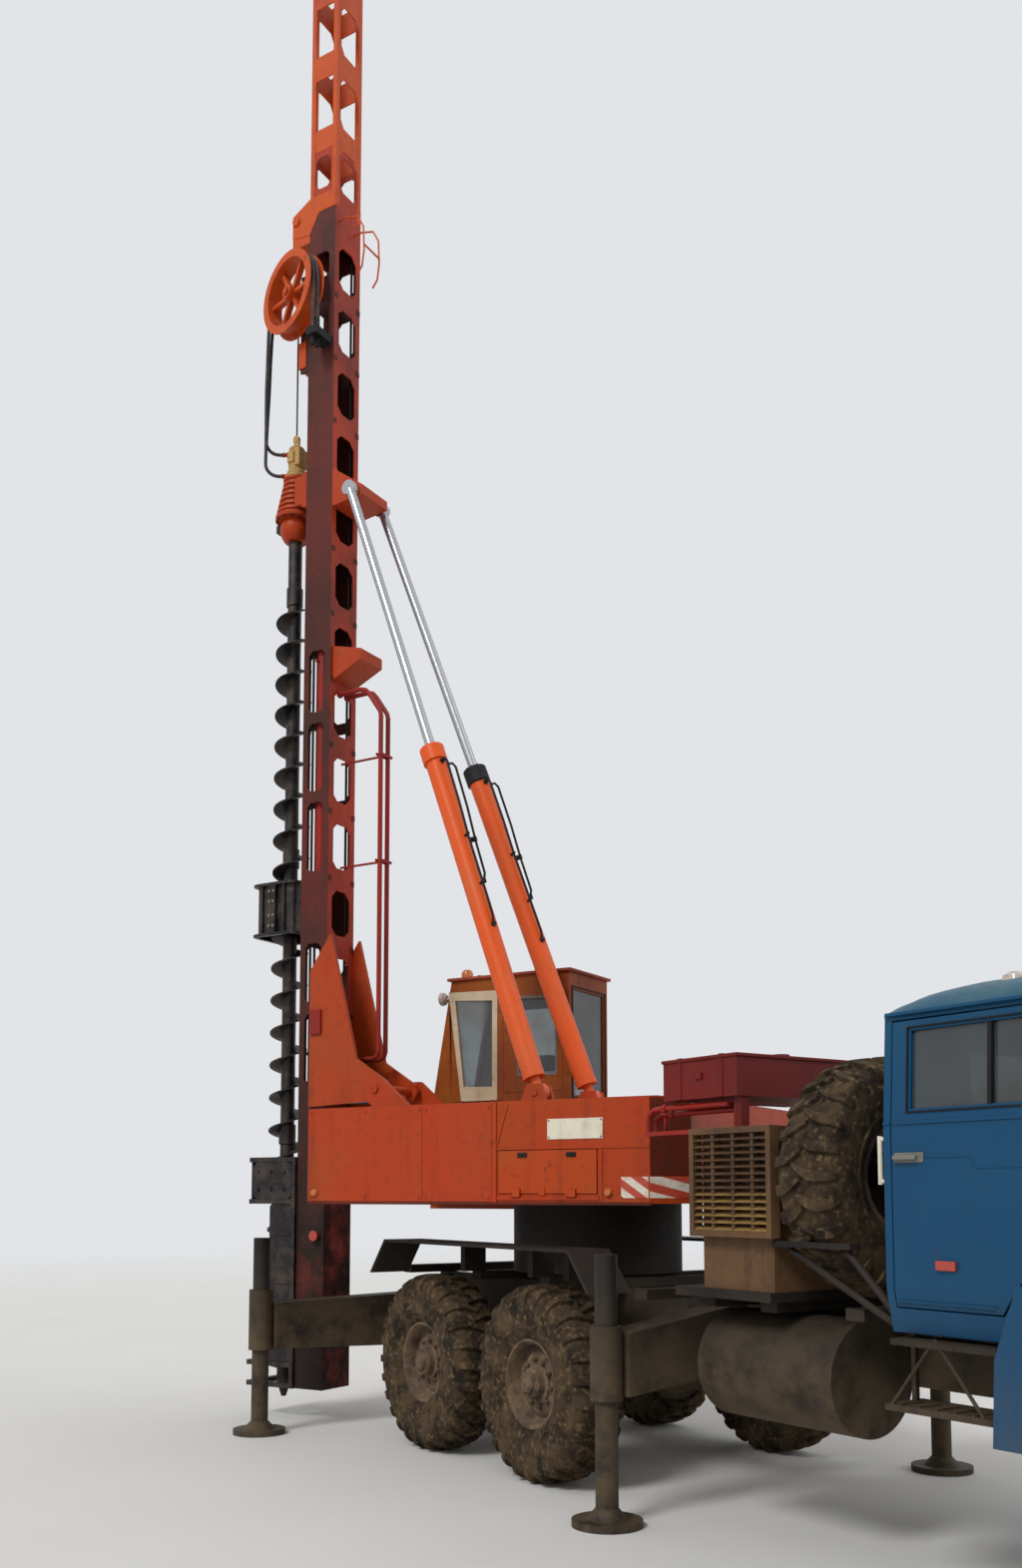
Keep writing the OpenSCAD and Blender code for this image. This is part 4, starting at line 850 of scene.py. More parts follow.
def mast_fittings():
    """Wire guard, ropes, boxes, clamps and lamp on the mast, and a black block of painted shade behind its
    foot.
    """
    x0, x1 = MAST_X
    s = on_mast()
    for y in (-0.12, 0.10):
        s.sweep([(x1 - 0.02, y, 10.37), (x1 + 0.07, y, 10.37), (x1 + 0.20, y, 10.33),
                 (x1 + 0.26, y, 10.22),
                 (x1 + 0.27, y, 10.0), (x1 + 0.25, y, 9.86), (x1 + 0.20, y, 9.80)], 0.008, 8)
    s.rod((x1 + 0.27, -0.12, 10.05), (x1 + 0.27, 0.10, 10.05), 0.008, 8)
    s.make("wire_guard", "upper_orange", "upper_orange")

    r = SHEAVE_R - 0.012
    s = on_mast()
    over = [(x, 0, z) for x, z in arc(SHEAVE_AT.x, SHEAVE_AT.z, r, 180, 0, 16)]
    s.sweep(over + [(SHEAVE_AT.x + r, 0, 9.9), (SHEAVE_AT.x + r, 0, 9.33)], ROPE_R, 10)
    s.make("hoist_rope_back", "auger_steel", "auger_steel")
    front = SHEAVE_AT.x - r
    s = Shape(MAST)
    s.sweep([(front, 0, 10.48 - 0.1 * i) for i in range(19)] + [(front, 0, 8.60)], ROPE_R, 10)
    fall = s.make("hoist_rope_fall", "auger_steel", "auger_steel")
    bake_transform(fall)

    s = on_mast()
    s.box((x0 - 0.115, -0.175, 9.09), (x0 - 0.031, 0.02, 9.33))
    s.box((x0 - 0.031, -0.16, 9.12), (x0, -0.02, 9.30))
    for z in (9.17, 9.26):
        s.rod((x0 - 0.118, -0.10, z), (x0 - 0.112, -0.10, z), 0.02, 6)
    s.make("rope_box", "upper_orange", "upper_orange", 0.006)
    # Stiffeners in the dark copy of the mast's red: painted shade.
    s = on_mast()
    s.box((x0 - 0.10, -0.165, 9.05), (x0, -0.145, 9.95))
    s.box((x0 - 0.10, 0.145, 9.05), (x0, 0.165, 9.95))
    s.make("crown_stiffeners", "mast_red", "mast_red", 0.003)

    s = on_mast()
    s.box((-2.56, -0.235, 3.16), (-2.45, -0.17, 3.37))
    s.box((-2.58, -0.20, 3.20), (-2.43, -0.17, 3.33))
    s.make("mast_clamp", "pipe_red", "pipe_red", 0.006)
    # A black box with four stubs, put where the gap between the platform and the gusset lies in shade:
    # painted shade.
    s = on_mast()
    s.box((x1, -0.15, 2.60), (-2.10, 0.15, 2.72))
    for i in range(4):
        s.rod((x1 + 0.06 + 0.07 * i, -0.15, 2.66), (x1 + 0.06 + 0.07 * i, -0.185, 2.66), 0.018, 6)
    s.make("shadow_gap_block", "seal_black", "chassis_black", 0.006)

    lamps(on_mast(), "mast_lamp", "lamp_red", "mast_red",
          [(0.0, 0.052), (0.02, 0.050), (0.034, 0.042), (0.04, 0.026), (0.042, 0.0)],
          [(-2.50, -MAST_Y - 0.052, 1.50)], "Y")

    s = on_mast()
    for z in (4.6, 5.5):
        s.rod((x1, -0.01, z), (-1.952, -0.01, z), 0.010, 10)
        s.box((-2.008, -0.092, z - 0.012), (-1.998, 0.072, z + 0.012))
        s.box((-1.962, -0.092, z - 0.012), (-1.952, 0.072, z + 0.012))
    for y in (-0.06, 0.04):
        for z in (2.95, 6.10):
            s.rod((x1, y, z), (x1 + 0.03, y, z), 0.034, 6)
    s.make("pipe_ties", "pipe_red", "pipe_red", 0.002)


def rounded_square(half, n, cx):
    """Points round a square with rounded corners, one for each of n angles."""
    out = []
    for c, s in turns(n):
        r = half / (abs(c) ** 7 + abs(s) ** 7) ** (1 / 7)
        out.append((cx + r * c, r * s))
    return out


def guides():
    """The steady with its two bolted halves, and the webs of the lower guide."""
    n = 48
    bore = [(DRILL_X + 0.175 * c, 0.175 * q) for c, q in turns(n)]
    x0 = MAST_X[0]
    s = Shape(MAST, "steady")
    s.ring_plate(rounded_square(0.212, n, DRILL_X), bore, "Z", 4.04, 4.50)
    for low, high in ((4.04, 4.065), (4.475, 4.50)):
        s.ring_plate(rounded_square(0.245, n, DRILL_X), bore, "Z", low, high)
    for side in (1, -1):
        s.box((DRILL_X - 0.035, side * 0.205, 4.06), (DRILL_X + 0.035, side * 0.248, 4.48))
        s.box((x0 - 0.045, side * 0.1405, 4.04), (x0 - 0.008, side * 0.17, 4.50))
        for x in (-3.10, -2.86):
            s.box((x - 0.008, side * 0.205, 4.06), (x + 0.008, side * 0.238, 4.48))
    s.box((DRILL_X + 0.2, -0.17, 4.05), (x0 - 0.04, 0.17, 4.49))
    s.make("steady_body", "auger_steel", "auger_steel", 0.003, replaces=("steady_guide",))
    s = Shape(MAST, "steady")
    for side in (1, -1):
        for z in (4.12, 4.21, 4.33, 4.42):
            for x in (DRILL_X - 0.022, DRILL_X + 0.022):
                s.rod((x, side * 0.245, z), (x, side * 0.26, z), 0.014, 6)
            s.rod((x0 - 0.10, side * 0.168, z), (x0 - 0.10, side * 0.186, z), 0.014, 6)
    s.make("steady_bolts", "grey_steel", "auger_steel")

    s = on_mast()
    for side in (1, -1):
        s.prism(chamfered(-3.17, -2.76, 1.80, 2.11, 0.03), "Y", side * 0.185, side * 0.205)
        s.prism(chamfered(-3.0, -2.76, 0.46, 1.76, 0.02), "Y", side * 0.176, side * 0.19)
        for z in (0.7, 1.1, 1.5):
            s.box((-2.95, side * 0.19, z), (-2.76, side * 0.206, z + 0.025))
        for z in (1.88, 2.03):
            for x in (-3.12, -2.98, -2.84):
                s.rod((x, side * 0.205, z), (x, side * 0.218, z), 0.015, 6)
    s.box((-3.205, -0.19, 1.80), (-3.185, 0.19, 2.11))
    s.make("guide_webs", "auger_steel", "auger_steel", 0.003)


def drive_head():
    """The ribbed bell gearbox with its bowl, slide and bolts."""
    s = Shape(MAST, "head")
    outline = [(0.0, 7.72), (0.052, 7.72), (0.052, HEAD_LOW), (0.092, HEAD_LOW), (0.104, 7.622),
               (0.126, 7.66),
               (0.138, 7.71), (0.134, 7.76), (0.120, 7.79), (0.120, 7.80), (0.178, 7.80), (0.180, 7.805),
               (0.180, 7.835), (0.172, 7.845)]
    for i in range(6):
        z, r = 7.86 + 0.052 * i, 0.170 - 0.0105 * i
        outline += [(r - 0.016, z - 0.006), (r, z), (r - 0.003, z + 0.026), (r - 0.018, z + 0.034)]
    outline += [(0.116, 8.168), (0.116, HEAD_MID), (0.0, HEAD_MID)]
    s.lathe(outline, 48, (DRILL_X, 0, 0), "Z")
    x0 = MAST_X[0]
    s.box((DRILL_X + 0.09, -0.13, 7.86), (x0 - 0.075, 0.13, 8.13))
    s.box((x0 - 0.08, -0.155, 7.83), (x0 - 0.042, 0.155, 8.13))
    for side in (1, -1):
        s.box((x0 - 0.047, side * 0.1405, 7.81), (x0 - 0.008, side * 0.17, 8.13))
        s.prism([(DRILL_X + 0.1, 7.86), (x0 - 0.05, 7.86), (x0 - 0.05, 8.10), (DRILL_X + 0.12, 7.93)],
                "Y",
                side * 0.130, side * 0.142)
    s.make("gearbox_bell", "engine_orange", "cylinder_orange", 0.002, 28, ("drive_head",))
    s = Shape(MAST, "head")
    for low, high in ((7.785, 7.80), (7.835, 7.848)):
        s.bolts(14, 0.167, low, high, 0.011, (DRILL_X, 0))
    s.box((-3.158, -0.055, 7.72), (-3.07, 0.055, 7.79))
    s.make("gearbox_bolts", "auger_steel", "auger_steel", 0.002)


PORT_ANGLE = math.radians(211)


def drive_motor():
    """The cream motor on the bell, its ports with red fittings and its lifting eye."""
    s = Shape(MAST, "head")
    s.lathe([(0.0, HEAD_MID), (0.105, HEAD_MID), (0.107, 8.195), (0.107, 8.212), (0.098, 8.220),
             (0.086, 8.226),
             (0.084, 8.262), (0.072, 8.272), (0.070, 8.30), (0.074, 8.31), (0.074, 8.40), (0.068, 8.408),
             (0.066, 8.455), (0.070, 8.46), (0.070, 8.478), (0.058, 8.49), (0.030, HEAD_HIGH),
             (0.0, HEAD_HIGH)],
            36, (DRILL_X, 0, 0), "Z")
    s.box((DRILL_X - 0.02, -0.068, 8.30), (DRILL_X + 0.082, 0.068, 8.455))
    s.box((DRILL_X - 0.04, -0.085, 8.33), (DRILL_X + 0.03, -0.06, 8.43))
    s.bolts(8, 0.094, 8.212, 8.228, 0.009, (DRILL_X, 0))
    s.box((DRILL_X - 0.03, -0.012, 8.49), (DRILL_X + 0.03, 0.012, 8.56))
    s.rod((DRILL_X - 0.003, -0.016, 8.575), (DRILL_X - 0.003, 0.016, 8.575), 0.032, 18)
    s.make("motor_body", "motor_cream", "motor_cream", 0.003, replaces=("drive_motor",))
    s = Shape(MAST, "head")
    out = Vector((math.cos(PORT_ANGLE), math.sin(PORT_ANGLE), 0))
    aside = Vector((-out.y, out.x, 0))
    for z, shift in ((8.43, 0.0), (8.215, 0.03)):
        start = Vector((DRILL_X, 0, z)) + shift * aside
        s.rod(start + 0.03 * out, start + 0.1295 * out, 0.0165, 16)
        s.rod(start + 0.075 * out, start + 0.092 * out, 0.023, 6)
        s.rod(start + 0.108 * out, start + 0.128 * out, 0.021, 6)
    s.make("motor_ports", "pipe_red", "pipe_red", replaces=("drive_motor",))


BARREL_EYE = (-0.26, 0.42, 2.58)
ROD_EYE = (-2.2, 0.226, 7.8)


def cylinders():
    """Gland rings, pipes and clamps on the tilt cylinders' barrels."""
    for side, name in SIDES:
        at = PLATFORM @ along(*((x, side * y, z) for x, y, z in (BARREL_EYE, ROD_EYE)))
        s = Shape(at, f"barrel_{name}")
        s.lathe([(0.084, 2.828), (0.0985, 2.834), (0.0985, 2.962), (0.094, 2.968), (0.046, 2.968),
                 (0.046, 2.95)], 40,
                closed=True)
        s.bolts(10, 0.078, 2.966, 2.978, 0.009, first=0)
        gland = "seal_black" if side > 0 else "cylinder_orange"
        s.make(f"gland_{name}", gland, "cylinder_orange", 0.002)
        s = Shape(at, f"barrel_{name}")
        for angle, low in ((-25, 1.35), (35, 1.75)):
            c, q = math.cos(math.radians(angle)), math.sin(math.radians(angle))
            route = [(0.088, 2.80), (0.125, 2.80), (0.142, 2.76), (0.134, 2.4), (0.116, 2.1),
                     (0.112, low + 0.2),
                     (0.108, low + 0.06), (0.085, low)]
            s.sweep([(r * c, r * q, z) for r, z in route], 0.010, 10)
            for z in (low + 0.35, 2.12):
                s.rod((0.075 * c, 0.075 * q, z), (0.13 * c, 0.13 * q, z), 0.012, 8)
            for z in (low, 2.80):
                s.rod((0.075 * c, 0.075 * q, z), (0.10 * c, 0.10 * q, z), 0.022, 6)
        s.make(f"barrel_pipes_{name}", "seal_black", "hose_rubber")


# Platform

BOX_Y = 1.2
BOX_BACK = 1.19


def platform_trim():
    """Panels, seams, pressed lines, hatch fittings, plates and lamps on the platform's box."""
    for side, tag in ((-1, "near"), (1, "far")):
        y0, y1 = side * (BOX_Y - 0.001), side * (BOX_Y + 0.004)
        for x0, x1, name, look in ((-1.765, -0.755, "front", "platform_orange"),
                                   (-0.745, -0.185, "mid", "platform_red")):
            s = on_platform()
            s.box((x0, y0, 1.79), (x1, y1, 2.458))
            s.make(f"panel_{name}_{tag}", look, "platform_orange", 0.003)
        s = on_platform()
        s.box((-0.178, y0, 1.785), (-0.142, side * (BOX_Y + 0.010), 2.462))
        s.box((-0.142, y0, 2.135), (0.985, side * (BOX_Y + 0.006), 2.15))
        for x in (-1.74, -1.25, -0.78, -0.72, -0.21):
            for z in (1.82, 2.43):
                s.rod((x, y0, z), (x, side * (BOX_Y + 0.010), z), 0.012, 6)
        s.make(f"panel_seams_{tag}", "engine_orange", "platform_orange", 0.002)
        # Foot strip along the box's lower edge in the darker copy of the platform paint: painted shade.
        s = on_platform()
        s.box((-1.77, y0, 1.768), (1.0, side * (BOX_Y + 0.006), 1.79))
        s.make(f"panel_foot_{tag}", "platform_painted_shade", "platform_orange", 0.003)

    y = -BOX_Y
    s = on_platform()
    s.prism([(-0.066, 2.44), (-0.050, 2.44), (-0.142, 2.15), (-0.158, 2.15)], "Y", y + 0.001, y - 0.006)
    s.box((0.645, y - 0.006, 1.80), (0.657, y + 0.001, 2.135))
    s.box((-0.14, y - 0.008, 1.80), (0.63, y + 0.001, 1.825))
    s.make("engine_side_lines", "engine_orange", "platform_orange", 0.002)

    s = Shape(PLATFORM, "hatch_lid")
    for x in (0.01, 0.21, 0.41):
        s.box((x - 0.022, y - 0.012, 1.832), (x + 0.022, y - 0.004, 1.885))
    s.make("hatch_tabs", "hatch_orange", "platform_orange", 0.002)
    s = Shape(PLATFORM, "hatch_lid")
    for x in (0.06, 0.43):
        s.box((x - 0.035, y - 0.017, 2.085), (x + 0.035, y - 0.004, 2.115))
        s.rod((x, y - 0.017, 2.10), (x, y - 0.026, 2.10), 0.010, 10)
    s.make("hatch_latches", "seal_black", "platform_orange", 0.003)

    s = on_platform()
    s.box((0.25, y - 0.005, 2.20), (0.66, y + 0.001, 2.335))
    s.make("blank_plate", "plate_white", "platform_orange", 0.002)
    s = on_platform()
    for x in (0.262, 0.648):
        for z in (2.212, 2.323):
            s.rod((x, y - 0.004, z), (x, y - 0.009, z), 0.006, 8)
    s.make("plate_rivets", "grey_steel", "platform_orange")

    s = on_platform()
    s.box((0.79, y - 0.004, 1.815), (0.982, y + 0.001, 1.95))
    s.prism([(0.992, y - 0.002), (1.192, y + 0.198), (1.190, y + 0.200), (0.990, y)], "Z", 1.815, 1.95)
    s.make("hazard_plates", "hazard_patch", "platform_orange", 0.001)
    # The chamfered corner face in the darker copy of the platform paint: painted shade on the face turned
    # from the light.
    s = on_platform()
    s.prism([(0.996, y - 0.002), (1.192, y + 0.194), (1.188, y + 0.198), (0.992, y + 0.002)], "Z", 1.96,
            2.455)
    s.make("corner_panel", "platform_painted_shade", "platform_orange", 0.001)
    lamps(on_platform(), "side_lamps", "lamp_orange", "platform_orange",
          [(0.0, 0.0), (0.020, 0.004), (0.028, 0.014), (0.03, 0.03)],
          [(x, y - 0.030, 1.85) for x in (0.70, -1.70)], "Y", 18)

    # Louvre slats in the darker copy of the platform paint: painted shade between the slats.
    s = on_platform()
    for k in range(9):
        s.box((BOX_BACK - 0.001, -0.52, 1.90 + 0.045 * k), (BOX_BACK + 0.008, 0.52, 1.918 + 0.045 * k))
    s.make("rear_louvres", "platform_painted_shade", "platform_orange", 0.002)
    lamps(on_platform(), "tail_lamps", "lamp_red", "platform_orange",
          [(0.0, 0.026), (0.03, 0.022), (0.042, 0.012), (0.045, 0.0)],
          [(BOX_BACK, side * 0.86, 1.95) for side in (1, -1)], "X")
    s = on_platform()
    for x in (0.15, 0.75):
        s.box((x, -0.95, 2.465), (x + 0.4, -0.35, 2.472))
        s.box((x + 0.12, -0.98, 2.468), (x + 0.20, -0.94, 2.482))
    s.rod((0.9, -0.1, 2.465), (0.9, -0.1, 2.56), 0.05, 20)
    s.rod((0.9, -0.1, 2.56), (0.9, -0.1, 2.575), 0.06, 20)
    s.make("top_lids", "engine_orange", "platform_orange", 0.003)


# Operator's cab

OP_NEAR = 0.555
OP_BACK = -0.533


def operator_trim():
    """Window frames, pillar covers, roof sheet, rain lip, lamp and blind of the operator's cab."""
    y0, y1 = OP_NEAR + 0.001, OP_NEAR - 0.008
    hole_a = [(-1.64, 2.64), (-1.64, 3.54), (-1.18, 3.54), (-1.18, 2.64)]
    frame_a = [(-1.56, 2.615), (-1.69, 3.545), (-1.205, 3.53), (-1.205, 2.612)]
    glass_a = [(-1.535, 2.735), (-1.622, 3.47), (-1.255, 3.448), (-1.255, 2.728)]
    hole_b = [(-1.11, 2.70), (-1.11, 3.50), (-0.62, 3.50), (-0.62, 2.70)]
    frame_b = [(-1.02, 2.80), (-1.02, 3.47), (-0.64, 3.45), (-0.64, 2.80)]
    glass_b = [(-0.995, 2.83), (-0.995, 3.445), (-0.662, 3.425), (-0.662, 2.83)]
    s = on_platform()
    s.ring_plate(grown(hole_a, 0.025), frame_a, "Y", y1 + 0.004, y0 + 0.02)
    s.ring_plate(grown(hole_b, 0.025), frame_b, "Y", y1 + 0.004, y0 + 0.02)
    s.make("cab_side_sheets", "cab_ochre", "cab_ochre", 0.001)
    s = on_platform()
    s.ring_plate(frame_a, glass_a, "Y", y1 - 0.006, y0 + 0.02)
    s.box((-1.53, y1 - 0.012, 2.612), (-1.21, y0, 2.632))
    s.make("window_frame_a", "cream_frame", "cab_ochre", 0.003)
    s = on_platform()
    s.ring_plate(frame_b, glass_b, "Y", y1, y0 + 0.02)
    s.make("window_frame_b", "grey_steel", "cab_ochre", 0.002)
    s = on_platform()
    back = [(0.62, 2.635), (0.62, 3.505), (1.165, 3.505), (1.165, 2.635)]
    s.ring_plate(grown(back, 0.012), grown(back, -0.022), "X", OP_BACK - 0.004, OP_BACK + 0.010)
    s.make("back_window_rubber", "seal_black", "cab_ochre", 0.002)

    s = on_platform()
    s.box((-1.697, 0.527, 3.640), (-0.505, 1.252, 3.664))
    for x in (-1.4, -1.1, -0.8):
        s.box((x, 0.54, 3.663), (x + 0.03, 1.24, 3.672))
    s.make("roof_sheet", "roof_rust", "cab_ochre", 0.006)
    lamps(on_platform(), "roof_beacon", "lamp_orange", "cab_ochre",
          [(0.0, 0.07), (0.03, 0.066), (0.045, 0.05), (0.05, 0.03), (0.05, 0.0)], [(-1.55, 0.62, 3.672)],
          "Z")
    s = on_platform()
    s.rod((-1.72, 0.70, 3.50), (-1.80, 0.70, 3.52), 0.014, 10)
    s.lathe([(0.0, 0.0), (0.03, -0.005), (0.055, -0.03), (0.06, -0.06), (0.055, -0.065), (0.0, -0.02)],
            24,
            (-1.80, 0.70, 3.52), "X")
    s.make("work_lamp", "lamp_clear", "cab_ochre")
    s = on_platform()
    for i in range(26):
        a, b = 0.66 + 0.019 * i, 0.66 + 0.019 * (i + 1)
        d = 0.008 if i % 2 else -0.008
        s.prism([(-0.60 + d, a), (-0.60 - d, b), (-0.597 - d, b), (-0.597 + d, a)], "Z", 2.72, 3.45)
    s.rod((-0.60, 0.64, 3.46), (-0.60, 1.17, 3.46), 0.008, 8)
    s.make("folded_blind", "cream_frame", "cab_ochre")
    s = on_platform()
    for z in (2.40, 2.52):
        s.rod((-1.25, 0.535, z), (-0.95, 0.535, z), 0.009, 8)
    for x in (-1.25, -0.95):
        s.rod((x, 0.535, 2.30), (x, 0.535, 2.62), 0.010, 8)
        for z in (2.31, 2.61):
            s.rod((x, 0.535, z), (x, 0.556, z), 0.009, 8)
    s.make("hand_rail", "cab_ochre", "cab_ochre")


# Truck cab

CAB_BACK = 2.95
CAB_FRONT = 4.30
CAB_FLOOR = 1.20
CAB_BELT = 2.12
CAB_EAVE = 2.69
CAB_CROWN = 2.87
CAB_Y = 1.12
CAB_EAVE_Y = 1.09
CAB_WALL = 0.04
ROOF_FALL = 3.75
ROOF_FRONT = 3.97
SCREEN_TOP = 2.72
BACK_WINDOW = [(-0.52, 2.18), (-0.52, 2.54), (0.52, 2.54), (0.52, 2.18)]
ROOF_ROUND = 0.35
DOOR_GAP = 0.006
HINGE_X = 3.933
HINGE_Y = 1.132
HINGES_Z = (1.62, 2.04)
DOOR = [(3.0, 1.32), (3.58, 1.32), (3.72, 1.50), (3.93, 1.515), (3.93, 2.65), (3.0, 2.65)]
DOOR_WINDOW = [(3.11, 2.235), (3.11, 2.60), (3.72, 2.60), (3.85, 2.235)]
WALL_LEAN = (CAB_Y - CAB_EAVE_Y) / (CAB_EAVE - CAB_BELT)
# a frame whose Y is square to the cab's upper side wall, measured at the belt
UPPER_WALL = Matrix(((1, 0, 0, 0), (0, 1, -WALL_LEAN, WALL_LEAN * CAB_BELT), (0, 0, 1, 0), (0, 0, 0, 1)))


def cab_hull(inset):
    """The cab's closed outside, drawn in by inset: sections along X with a domed roof."""
    t = inset
    half = [(CAB_Y - 0.04 - t, CAB_FLOOR + t), (CAB_Y - t, CAB_FLOOR + 0.2), (CAB_Y - t, CAB_BELT),
            (CAB_EAVE_Y - t, CAB_EAVE - 0.03 - t / 2), (CAB_EAVE_Y - t, CAB_EAVE - t / 2)]
    dome = [(CAB_EAVE_Y - t - 0.012, 0.12), (CAB_EAVE_Y - t - 0.05, 0.34), (CAB_EAVE_Y - t - 0.13, 0.56),
            (0.80, 0.78), (0.55, 0.92), (0.25, 0.99), (0.0, 1.0)]
    back, front = CAB_BACK + t, CAB_FRONT - t
    stations = [back] + [CAB_BACK + ROOF_ROUND * (1 - math.cos(math.radians(a))) for a in (22, 34, 46, 58,
                                                                                           74, 90)]
    stations += [3.5, ROOF_FALL, 3.86, ROOF_FRONT - t, ROOF_FRONT + 0.1, ROOF_FRONT + 0.2,
                 CAB_FRONT - 0.03 - t, front]
    s = on_truck()
    rings = []
    for x in stations:
        rise = 1.0
        if x < CAB_BACK + ROOF_ROUND:
            rise = math.sqrt(max(0.0, 1 - ((CAB_BACK + ROOF_ROUND - x) / ROOF_ROUND) ** 2))
        elif x > ROOF_FALL:
            rise = max(0.1, 1 - ((x - ROOF_FALL) / 0.3) ** 2)
        rise = 0.15 + 0.85 * rise
        top = CAB_CROWN if x <= ROOF_FRONT else SCREEN_TOP - t - (x - ROOF_FRONT) * 2.07
        low = CAB_FLOOR + t if x <= ROOF_FRONT else CAB_FLOOR + t + (x - ROOF_FRONT)
        side = half + [(y, CAB_EAVE - t / 2 + (CAB_CROWN - CAB_EAVE - t / 2) * k * rise) for y, k in dome]
        side = [(y, min(max(z, low), top)) for y, z in side]
        ring = side + [(-y, z) for y, z in side[-2::-1]]
        rings.append([(x, y, z) for y, z in ring])
    s.rings(rings)
    return s


def door_solid(gap, side):
    """The block that a door's outline, grown by a gap, cuts out of the cab."""
    s = on_truck()
    s.prism(grown(DOOR, gap) if gap else DOOR, "Y", side * 0.9, side * 1.4)
    return s


def truck_cab():
    """The cab's shell and doors, cut from one hull."""
    glazing, back = on_truck(), on_truck()
    for side in (1, -1):
        glazing.box((3.80, side * 0.05, 2.16), (4.40, side * 0.89, 2.60))
    back.box((CAB_BACK - 0.05, *BACK_WINDOW[0]), (CAB_BACK + 0.06, *BACK_WINDOW[2]))
    doors = [door_solid(DOOR_GAP, side) for side in (1, -1)]
    mesh = carved(cab_hull(0), cab_hull(CAB_WALL), glazing, back, *doors)
    two_toned(mesh, "cab_blue", "cab_roof",
              lambda face: face.center.z > CAB_EAVE + 0.005 and face.normal.z > 0.05)
    piece("cab_shell", mesh, None, "chassis", 0.004, ("truck_cab",))
    for side, name in SIDES:
        hole = on_truck()
        hole.prism(DOOR_WINDOW, "Y", side * 0.9, side * 1.4)
        mesh = carved(door_solid(0, side), cab_hull(CAB_WALL), hole, within=cab_hull(0))
        piece(f"door_leaf_{name}", mesh, "cab_blue", f"cab_door_{name}", 0.003,
              (f"door_{name}",))
        door_fittings(side, name)


def door_fittings(side, name):
    """Rubber, pane, beads, handle, marker and hinges of one door."""
    body = f"cab_door_{name}"
    flip = Matrix.Diagonal((1, side, 1, 1))
    wall, flat = TRUCK @ flip @ UPPER_WALL, TRUCK @ flip
    y = CAB_Y
    s = Shape(wall, body)
    s.ring_plate(grown(DOOR_WINDOW, 0.020), grown(DOOR_WINDOW, -0.012), "Y", y - 0.012, y + 0.008)
    s.box((3.54, y - 0.03, 2.235), (3.562, y + 0.004, 2.60))
    s.make(f"door_rubber_{name}", "seal_black", "cab_blue", 0.002)
    s = Shape(wall, body)
    s.prism(DOOR_WINDOW, "Y", y - 0.024, y - 0.019)
    s.make(f"door_pane_{name}", "glass", "glass")
    s = Shape(flat, body)
    s.box((3.012, y - 0.002, 2.162), (3.92, y + 0.005, 2.178))
    s.box((3.20, y - 0.001, 2.004), (3.44, y + 0.004, 2.013))
    s.prism([(3.44, 2.004), (3.44, 2.013), (3.47, 1.963), (3.47, 1.954)], "Y", y - 0.001, y + 0.004)
    s.box((3.47, y - 0.001, 1.954), (3.91, y + 0.004, 1.963))
    s.box((3.02, y - 0.001, 1.345), (3.56, y + 0.004, 1.353))
    s.make(f"door_beads_{name}", "cab_blue", "cab_blue", 0.002)
    s = Shape(flat, body)
    s.box((3.02, y - 0.001, 1.985), (3.19, y + 0.007, 2.032))
    s.box((3.03, y + 0.022, 1.998), (3.165, y + 0.034, 2.020))
    for x in (3.04, 3.145):
        s.box((x, y, 2.001), (x + 0.016, y + 0.03, 2.017))
    s.make(f"door_handle_{name}", "grey_steel", "cab_blue", 0.004)
    s = Shape(flat, body)
    s.box((3.25, y - 0.001, 1.497), (3.36, y + 0.018, 1.542))
    s.make(f"door_marker_{name}", "lamp_red", "cab_blue", 0.006)
    s, fixed = Shape(flat, body), Shape(flat, "chassis")
    for z in HINGES_Z:
        s.rod((HINGE_X, HINGE_Y, z), (HINGE_X, HINGE_Y, z + 0.027), 0.011, 14)
        s.box((HINGE_X - 0.05, y - 0.001, z + 0.001), (HINGE_X - 0.004, HINGE_Y + 0.004, z + 0.026))
        fixed.rod((HINGE_X, HINGE_Y, z + 0.030), (HINGE_X, HINGE_Y, z + 0.057), 0.011, 14)
        fixed.box((HINGE_X + 0.004, y - 0.001, z + 0.031), (HINGE_X + 0.05, HINGE_Y + 0.004, z + 0.056))
    s.make(f"hinge_leaf_{name}", "cab_blue", "cab_blue", 0.002)
    fixed.make(f"hinge_seat_{name}", "cab_blue", "cab_blue", 0.002)


